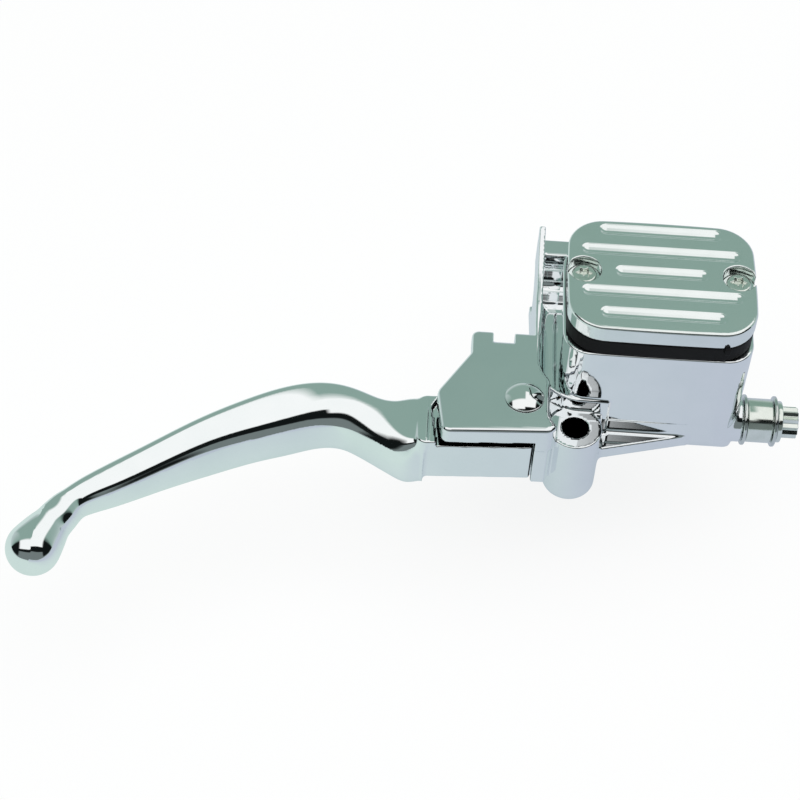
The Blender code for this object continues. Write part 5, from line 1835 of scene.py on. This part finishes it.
@dataclass
class Plunger:
    """What runs in the bore: the piston's two cups, the return spring and the dust boot."""

    bore: Place = BORE
    spring_wire: float = 0.55
    spring_turns: int = 6
    spring_steps: int = 40
    spring_sides: int = 16
    travel_joint: str = "piston_slide"

    def cup(self, name: str, node_name: str) -> None:
        """A rubber cup whose lip opens towards the pressure side.

        Args:
            name: The piece's name.
            node_name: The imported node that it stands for.
        """
        low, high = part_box(node_name)
        a, b, outer = low.x / MM, high.x / MM, (high.y - low.y) / 2 / MM
        inner = 2.7
        profile = [
            (inner, a, 0.15), (outer - 0.5, a, 0.3), (outer - 0.3, a + 1.2, 0.2), (outer, b, 0.2),
            (outer - 1.2, b, 0.2), (outer - 1.6, a + 1.7, 0.4), (inner, a + 1.5, 0.3),
        ]
        piece = Lathe.spin(name, profile, (0.0, *self.bore), Axis.X)
        dress(piece, BLACK_RUBBER, Body.PLUNGER, node_name)

    def spring(self) -> None:
        """The return spring as round wire wound at an even pitch, with its two ends capped."""
        low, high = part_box("return_spring")
        wire = self.spring_wire
        start, end = low.x / MM + wire, high.x / MM - wire
        radius = (high.z - low.z) / 2 / MM - wire
        per_turn, sides = self.spring_steps, self.spring_sides
        steps = per_turn * self.spring_turns
        mesh = bmesh.new()
        rings = []
        for i in range(steps + 1):
            share = i / steps
            turn = 2 * math.pi * self.spring_turns * share
            spoke = Vector((0.0, math.cos(turn), math.sin(turn)))
            round_about = Vector((0.0, -math.sin(turn), math.cos(turn))) * (radius * 2 * math.pi / per_turn)
            run = Vector(((end - start) / steps, 0.0, 0.0)) + round_about
            side = run.normalized().cross(spoke)
            middle = Vector((start + (end - start) * share, *self.bore)) + spoke * radius
            ring = []
            for k in range(sides):
                angle = 2 * math.pi * k / sides
                out = spoke * math.cos(angle) + side * math.sin(angle)
                ring.append(mesh.verts.new((middle + out * wire) * MM))
            rings.append(ring)
        for near, far in zip(rings, rings[1:]):
            for k in range(sides):
                after = (k + 1) % sides
                mesh.faces.new((near[k], near[after], far[after], far[k]))
        mesh.faces.new(rings[0])
        mesh.faces.new(rings[-1])
        bmesh.ops.recalc_face_normals(mesh, faces=mesh.faces)
        data = bpy.data.meshes.new("coiled_return_spring")
        mesh.to_mesh(data)
        mesh.free()
        data.polygons.foreach_set("use_smooth", np.ones(len(data.polygons), bool))
        data.set_sharp_from_angle(angle=Lathe.SHARP)
        piece = dress(linked("coiled_return_spring", data), SPRING_STEEL, Body.FIXED, "return_spring")
        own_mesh(piece)

    def boot(self) -> None:
        """The dust boot with its rolled folds."""
        low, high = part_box("dust_boot")
        a, b = low.x / MM, high.x / MM
        outer, wall, fold = 6.3, 0.9, 4.75
        span = b - a
        crest = [(outer - 1.6, a), (fold + 1.3, a + 0.3 * span), (fold + 0.5, a + 0.42 * span)]
        crest += [(outer - 0.2, a + 0.6 * span), (outer - 1.0, a + 0.75 * span)]
        crest += [(outer + 0.3, a + 0.82 * span), (outer + 0.3, b)]
        profile = [(r, x, 0.5) for r, x in crest]
        profile += [(r - wall, x, 0.4) for r, x in reversed(crest)]
        piece = Lathe.spin("folded_dust_boot", profile, (0.0, *self.bore), Axis.X)
        dress(piece, BLACK_RUBBER, Body.FIXED, "dust_boot")
        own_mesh(piece)

    def build(self) -> None:
        """Build the soft pieces in the bore."""
        self.cup("primary_cup_seal", "primary_cup")
        self.cup("secondary_cup_seal", "secondary_cup")
        self.spring()
        self.boot()


@dataclass
class HoseFitting:
    """The hose bolt with its twelve-point head, the sleeve and the two washers."""

    cell: float = 0.34
    axis_at: Place = BORE
    face: float = HOSE_FACE
    gap: float = 0.3
    hole: float = 5.3
    washer: float = 9.3
    washer_thick: float = 1.2
    sleeve: float = 8.1
    sleeve_length: float = 9.2
    flange: float = 7.6
    flange_thick: float = 1.8
    head: float = 5.9
    head_notch: float = 1.15
    head_height: float = 6.0

    def bolt(self) -> bpy.types.Object:
        """The bolt, its head's corners rounded and its end dished.

        Returns:
            The new object, in metres.
        """
        seat = self.face + 4 * self.gap + 2 * self.washer_thick + self.sleeve_length
        top = seat + self.flange_thick + self.head_height
        y, z = self.axis_at
        shank = turned(rounded([
            (0.0, seat, 0), (5.0, seat, 0), (5.0, 39.0, 0.5), (0.0, 39.0, 0),
        ]), (y, z), Axis.X)
        flange = rod((y, z), self.flange, seat, seat + self.flange_thick, Axis.X, edge=0.4)
        outline = star(12, self.head, self.head - self.head_notch, (y, z))
        points = prism(outline, seat + 1.0, top, Axis.X, edge=0.3)
        dish = turned([
            (0.0, top + 3.0), (3.2, top + 3.0), (3.2, top - 0.2), (2.6, top - 0.9), (0.0, top - 0.9),
        ], (y, z), Axis.X)
        passage = rod((y, z), 2.0, 30.0, seat - 1.0, Axis.X)
        solid = shank.join(flange).join(points, fillet=0.5).cut(dish, passage, ease=0.4)
        low = (39.0, y - self.flange, z - self.flange)
        skin = Skin(low, (top, y + self.flange, z + self.flange), self.cell)
        return skin.mesh("hose_bolt", solid)

    def build(self) -> None:
        """Build the bolt, the sleeve and the washers."""
        dress(self.bolt(), ZINC_STEEL, Body.FIXED, "banjo_bolt")
        at = (0.0, *self.axis_at)
        thick, long, bore = self.washer_thick, self.sleeve_length, self.hole
        first = self.face + self.gap
        sleeve = first + thick + self.gap
        last = sleeve + long + self.gap
        for name, node_name, low, radius, length, edge in (
            ("hose_washer_inner", "banjo_washer_inner", first, self.washer, thick, 0.35),
            ("hose_sleeve", "banjo_spacer", sleeve, self.sleeve, long, 0.5),
            ("hose_washer_outer", "banjo_washer_outer", last, self.washer, thick, 0.35),
        ):
            high = low + length
            profile = [(bore, low, 0.2), (radius, low, edge), (radius, high, edge), (bore, high, 0.2)]
            ring = Lathe.spin(name, profile, at, Axis.X)
            finish = ZINC_STEEL if name == "hose_sleeve" else BRIGHT_STEEL
            dress(ring, finish, Body.FIXED, node_name)


@dataclass
class CarriedNodes:
    """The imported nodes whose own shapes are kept, each with a finish."""

    finishes: tuple[tuple[str, Finish], ...] = (
        ("piston", BARE_ALUMINIUM),
        ("spring_seat", BRIGHT_STEEL),
        ("snap_ring", SPRING_STEEL),
        ("pivot_retaining_ring", SPRING_STEEL),
    )

    def build(self, nodes: dict[str, bpy.types.Object]) -> None:
        """Dress the kept nodes.

        Args:
            nodes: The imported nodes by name.
        """
        for name, finish in self.finishes:
            data = nodes[name].data
            data.materials.clear()
            data.materials.append(finish.material())
            LOG.info("%s: packed shape kept, %s", name, finish.name)


@dataclass
class Studio:
    """The camera, the pale floor, the soft overhead light and the surroundings that the chrome shows."""

    elevation: float = 49.8675
    turn: float = -0.0364
    roll: float = 3.6284
    distance: float = 765.678
    focal: float = 2169.9262
    slide: Place = (93.2811, 44.7216)
    origin: Point = (14.0, -43.5, 54.4)
    frame: float = 800.0
    sensor: float = 36.0
    floor_z: float = -60.0
    floor_size: float = 6.0
    floor_glow: float = 0.86
    cast: tuple[Colour, Colour] = ((0.60, 0.73, 0.70), (0.47, 0.52, 0.62))
    cast_run: Span = (-0.16, 0.06)
    pale: Colour = (0.52, 0.60, 0.60)
    back: Colour = (0.27, 0.385, 0.345)
    white: Colour = (1.0, 1.0, 1.0)
    black: Colour = (0.006, 0.008, 0.008)
    grey: Colour = (0.17, 0.20, 0.20)
    roof_split: Span = (0.04, 0.12)
    flank_edge: Span = (0.73, 0.79)
    lamp_at: Point = (0.0, -0.1, 1.4)
    lamp_size: float = 1.6
    lamp_power: float = 16.0

    def camera(self) -> None:
        """Place the camera at the photograph's viewing angle."""
        e, psi, rho = (math.radians(a) for a in (self.elevation, self.turn, self.roll))
        back = Vector((-math.sin(psi) * math.cos(e), -math.cos(psi) * math.cos(e), math.sin(e)))
        right = Vector((math.cos(psi), -math.sin(psi), 0.0))
        up = back.cross(right)
        across = math.cos(rho) * right + math.sin(rho) * up
        above = -math.sin(rho) * right + math.cos(rho) * up
        aside = across * self.slide[0] + above * self.slide[1]
        at = Vector(self.origin) - aside + back * self.distance
        data = bpy.data.cameras.new("view")
        data.sensor_width = self.sensor
        data.lens = self.sensor * self.focal / self.frame
        data.clip_start, data.clip_end = 0.01, 50.0
        camera = bpy.data.objects.new("view", data)
        bpy.context.scene.collection.objects.link(camera)
        facing = Matrix((across, above, back)).transposed().to_4x4()
        camera.matrix_world = Matrix.Translation(at * MM) @ facing
        bpy.context.scene.camera = camera

    def floor(self) -> None:
        """Lay the pale floor, which shows from above only."""
        half = self.floor_size / 2
        data = bpy.data.meshes.new("floor")
        corners = [(-half, -half), (half, -half), (half, half), (-half, half)]
        data.from_pydata([(x, y, self.floor_z * MM) for x, y in corners], [], [(0, 1, 2, 3)])
        floor = linked("floor", data)
        made = bpy.data.materials.new("floor")
        made.use_nodes = True
        tree = made.node_tree
        tree.nodes.clear()
        path = node(tree, "ShaderNodeLightPath")
        face = node(tree, "ShaderNodeNewGeometry")
        place = node(tree, "ShaderNodeSeparateXYZ", {"Vector": face.outputs["Position"]})
        tone = between(tree, self.band(tree, place.outputs["X"], *self.cast_run), *self.cast)
        matt = node(tree, "ShaderNodeBsdfDiffuse", in_Color=(0.9, 0.9, 0.9, 1.0)).outputs[0]
        seen = node(tree, "ShaderNodeEmission", in_Strength=1.0).outputs[0]
        mirrored = node(tree, "ShaderNodeEmission", {"Color": tone}, in_Strength=1.0).outputs[0]
        to_eye = self.mixed(tree, self.floor_glow, matt, seen)
        to_metal = self.mixed(tree, self.floor_glow, matt, mirrored)
        shown = self.mixed(tree, self.straight(tree, path), matt, to_eye)
        shown = self.mixed(tree, path.outputs["Is Glossy Ray"], shown, to_metal)
        clear = node(tree, "ShaderNodeBsdfTransparent").outputs[0]
        shown = self.mixed(tree, face.outputs["Backfacing"], shown, clear)
        node(tree, "ShaderNodeOutputMaterial", {"Surface": shown})
        data.materials.append(made)

    def surroundings(self) -> None:
        """The studio around the object: white to the eye, and to the chrome a tent with a white
        roof, a grey-green back, a grey front wall with a dark gap above it, and dark flanks."""
        world = bpy.data.worlds.new("studio")
        bpy.context.scene.world = world
        world.use_nodes = True
        tree = world.node_tree
        tree.nodes.clear()
        place = node(tree, "ShaderNodeTexCoord")
        way = node(tree, "ShaderNodeSeparateXYZ", {"Vector": place.outputs["Generated"]})
        angle = sum_up(tree, "ARCTAN2", way.outputs["Z"], way.outputs["Y"])
        share = sum_up(tree, "MULTIPLY", angle, 1.0 / math.pi)
        pale, back, white, black, grey = self.pale, self.back, self.white, self.black, self.grey
        front = ((134, black), (144, black), (147, grey), (180, grey))
        roof = ((84, back), (92, white), (131, white))
        left = self.ramp(tree, share, ((0, pale), (16, back), *roof, *front))
        roof = ((50, back), (54, white), (121, white), (124, black))
        right = self.ramp(tree, share, ((0, pale), (20, back), *roof, *front))
        sides = ((0, pale), (80, back), (96, black), (170, black), (178, grey))
        flank = self.ramp(tree, share, sides)
        tent = between(tree, self.band(tree, way.outputs["X"], *self.roof_split), left, right)
        aside = sum_up(tree, "ABSOLUTE", way.outputs["X"])
        colour = between(tree, self.band(tree, aside, *self.flank_edge), tent, flank)
        path = node(tree, "ShaderNodeLightPath")
        room = node(tree, "ShaderNodeBackground", {"Color": colour}, in_Strength=1.0).outputs[0]
        plain = node(tree, "ShaderNodeBackground", in_Color=(*white, 1.0), in_Strength=1.0).outputs[0]
        shown = self.mixed(tree, self.straight(tree, path), room, plain)
        node(tree, "ShaderNodeOutputWorld", {"Surface": shown})

    @staticmethod
    def straight(tree: bpy.types.NodeTree, path: bpy.types.Node) -> bpy.types.NodeSocket:
        """A mask of the rays that come from the eye, straight or through the glass."""
        return sum_up(tree, "MAXIMUM", path.outputs["Is Camera Ray"], path.outputs["Is Transmission Ray"])

    @staticmethod
    def mixed(
        tree: bpy.types.NodeTree, share: Operand, first: bpy.types.NodeSocket, second: bpy.types.NodeSocket
    ) -> bpy.types.NodeSocket:
        """Mix two shaders.

        Args:
            tree: The nodes.
            share: The second shader's share, as a number or a socket.
            first: The first shader.
            second: The second shader.

        Returns:
            The mixed shader.
        """
        made = node(tree, "ShaderNodeMixShader", {1: first, 2: second})
        if isinstance(share, bpy.types.NodeSocket):
            tree.links.new(share, made.inputs[0])
        else:
            made.inputs[0].default_value = share
        return made.outputs[0]

    @staticmethod
    def band(
        tree: bpy.types.NodeTree, value: bpy.types.NodeSocket, low: float, high: float
    ) -> bpy.types.NodeSocket:
        """A step from 0 to 1 between two values.

        Args:
            tree: The nodes.
            value: The socket that is read.
            low: Where the step starts.
            high: Where it ends.

        Returns:
            The step's socket.
        """
        step = node(tree, "ShaderNodeMapRange", {"Value": value}, in_From_Min=low, in_From_Max=high)
        return step.outputs["Result"]

    def ramp(
        self, tree: bpy.types.NodeTree, share: bpy.types.NodeSocket, colours: Sequence[tuple[float, Colour]]
    ) -> bpy.types.NodeSocket:
        """Colours round the object from the back horizon over the top to the front, by degrees.

        Args:
            tree: The nodes.
            share: The socket that gives the angle as a share of a half turn.
            colours: Pairs of degrees and colour.

        Returns:
            The colour's socket.
        """
        made = node(tree, "ShaderNodeValToRGB", {"Fac": share})
        self.stops(made.color_ramp, [(degrees / 180, colour) for degrees, colour in colours])
        return made.outputs["Color"]

    @staticmethod
    def stops(ramp: bpy.types.ColorRamp, colours: Sequence[tuple[float, Colour]]) -> None:
        """Set a colour ramp's stops.

        Args:
            ramp: The colour ramp.
            colours: Pairs of place and colour, in order.
        """
        while len(ramp.elements) > 1:
            ramp.elements.remove(ramp.elements[-1])
        ramp.elements[0].position = colours[0][0]
        ramp.elements[0].color = (*colours[0][1], 1.0)
        for place, colour in colours[1:]:
            ramp.elements.new(place).color = (*colour, 1.0)

    def lamp(self) -> None:
        """Hang a wide soft light overhead, which the chrome doesn't show."""
        data = bpy.data.lights.new("overhead", "AREA")
        data.shape = "SQUARE"
        data.size = self.lamp_size
        data.energy = self.lamp_power
        lamp = bpy.data.objects.new("overhead", data)
        lamp.location = self.lamp_at
        lamp.visible_glossy = False
        bpy.context.scene.collection.objects.link(lamp)

    def build(self) -> None:
        """Set the studio up."""
        self.camera()
        self.floor()
        self.surroundings()
        self.lamp()
        bpy.context.scene.view_settings.view_transform = "Standard"


def main() -> None:
    """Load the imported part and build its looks."""
    logging.basicConfig(level=logging.INFO, format="%(message)s")
    for obj in list(bpy.data.objects):
        bpy.data.objects.remove(obj)
    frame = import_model()
    Studio().build()
    Casting().build()
    RearClamp().build()
    ReservoirTop().build()
    BrakeLever().build()
    Plunger().build()
    HoseFitting().build()
    CarriedNodes().build(frame["nodes"])


if __name__ == "__main__":
    main()
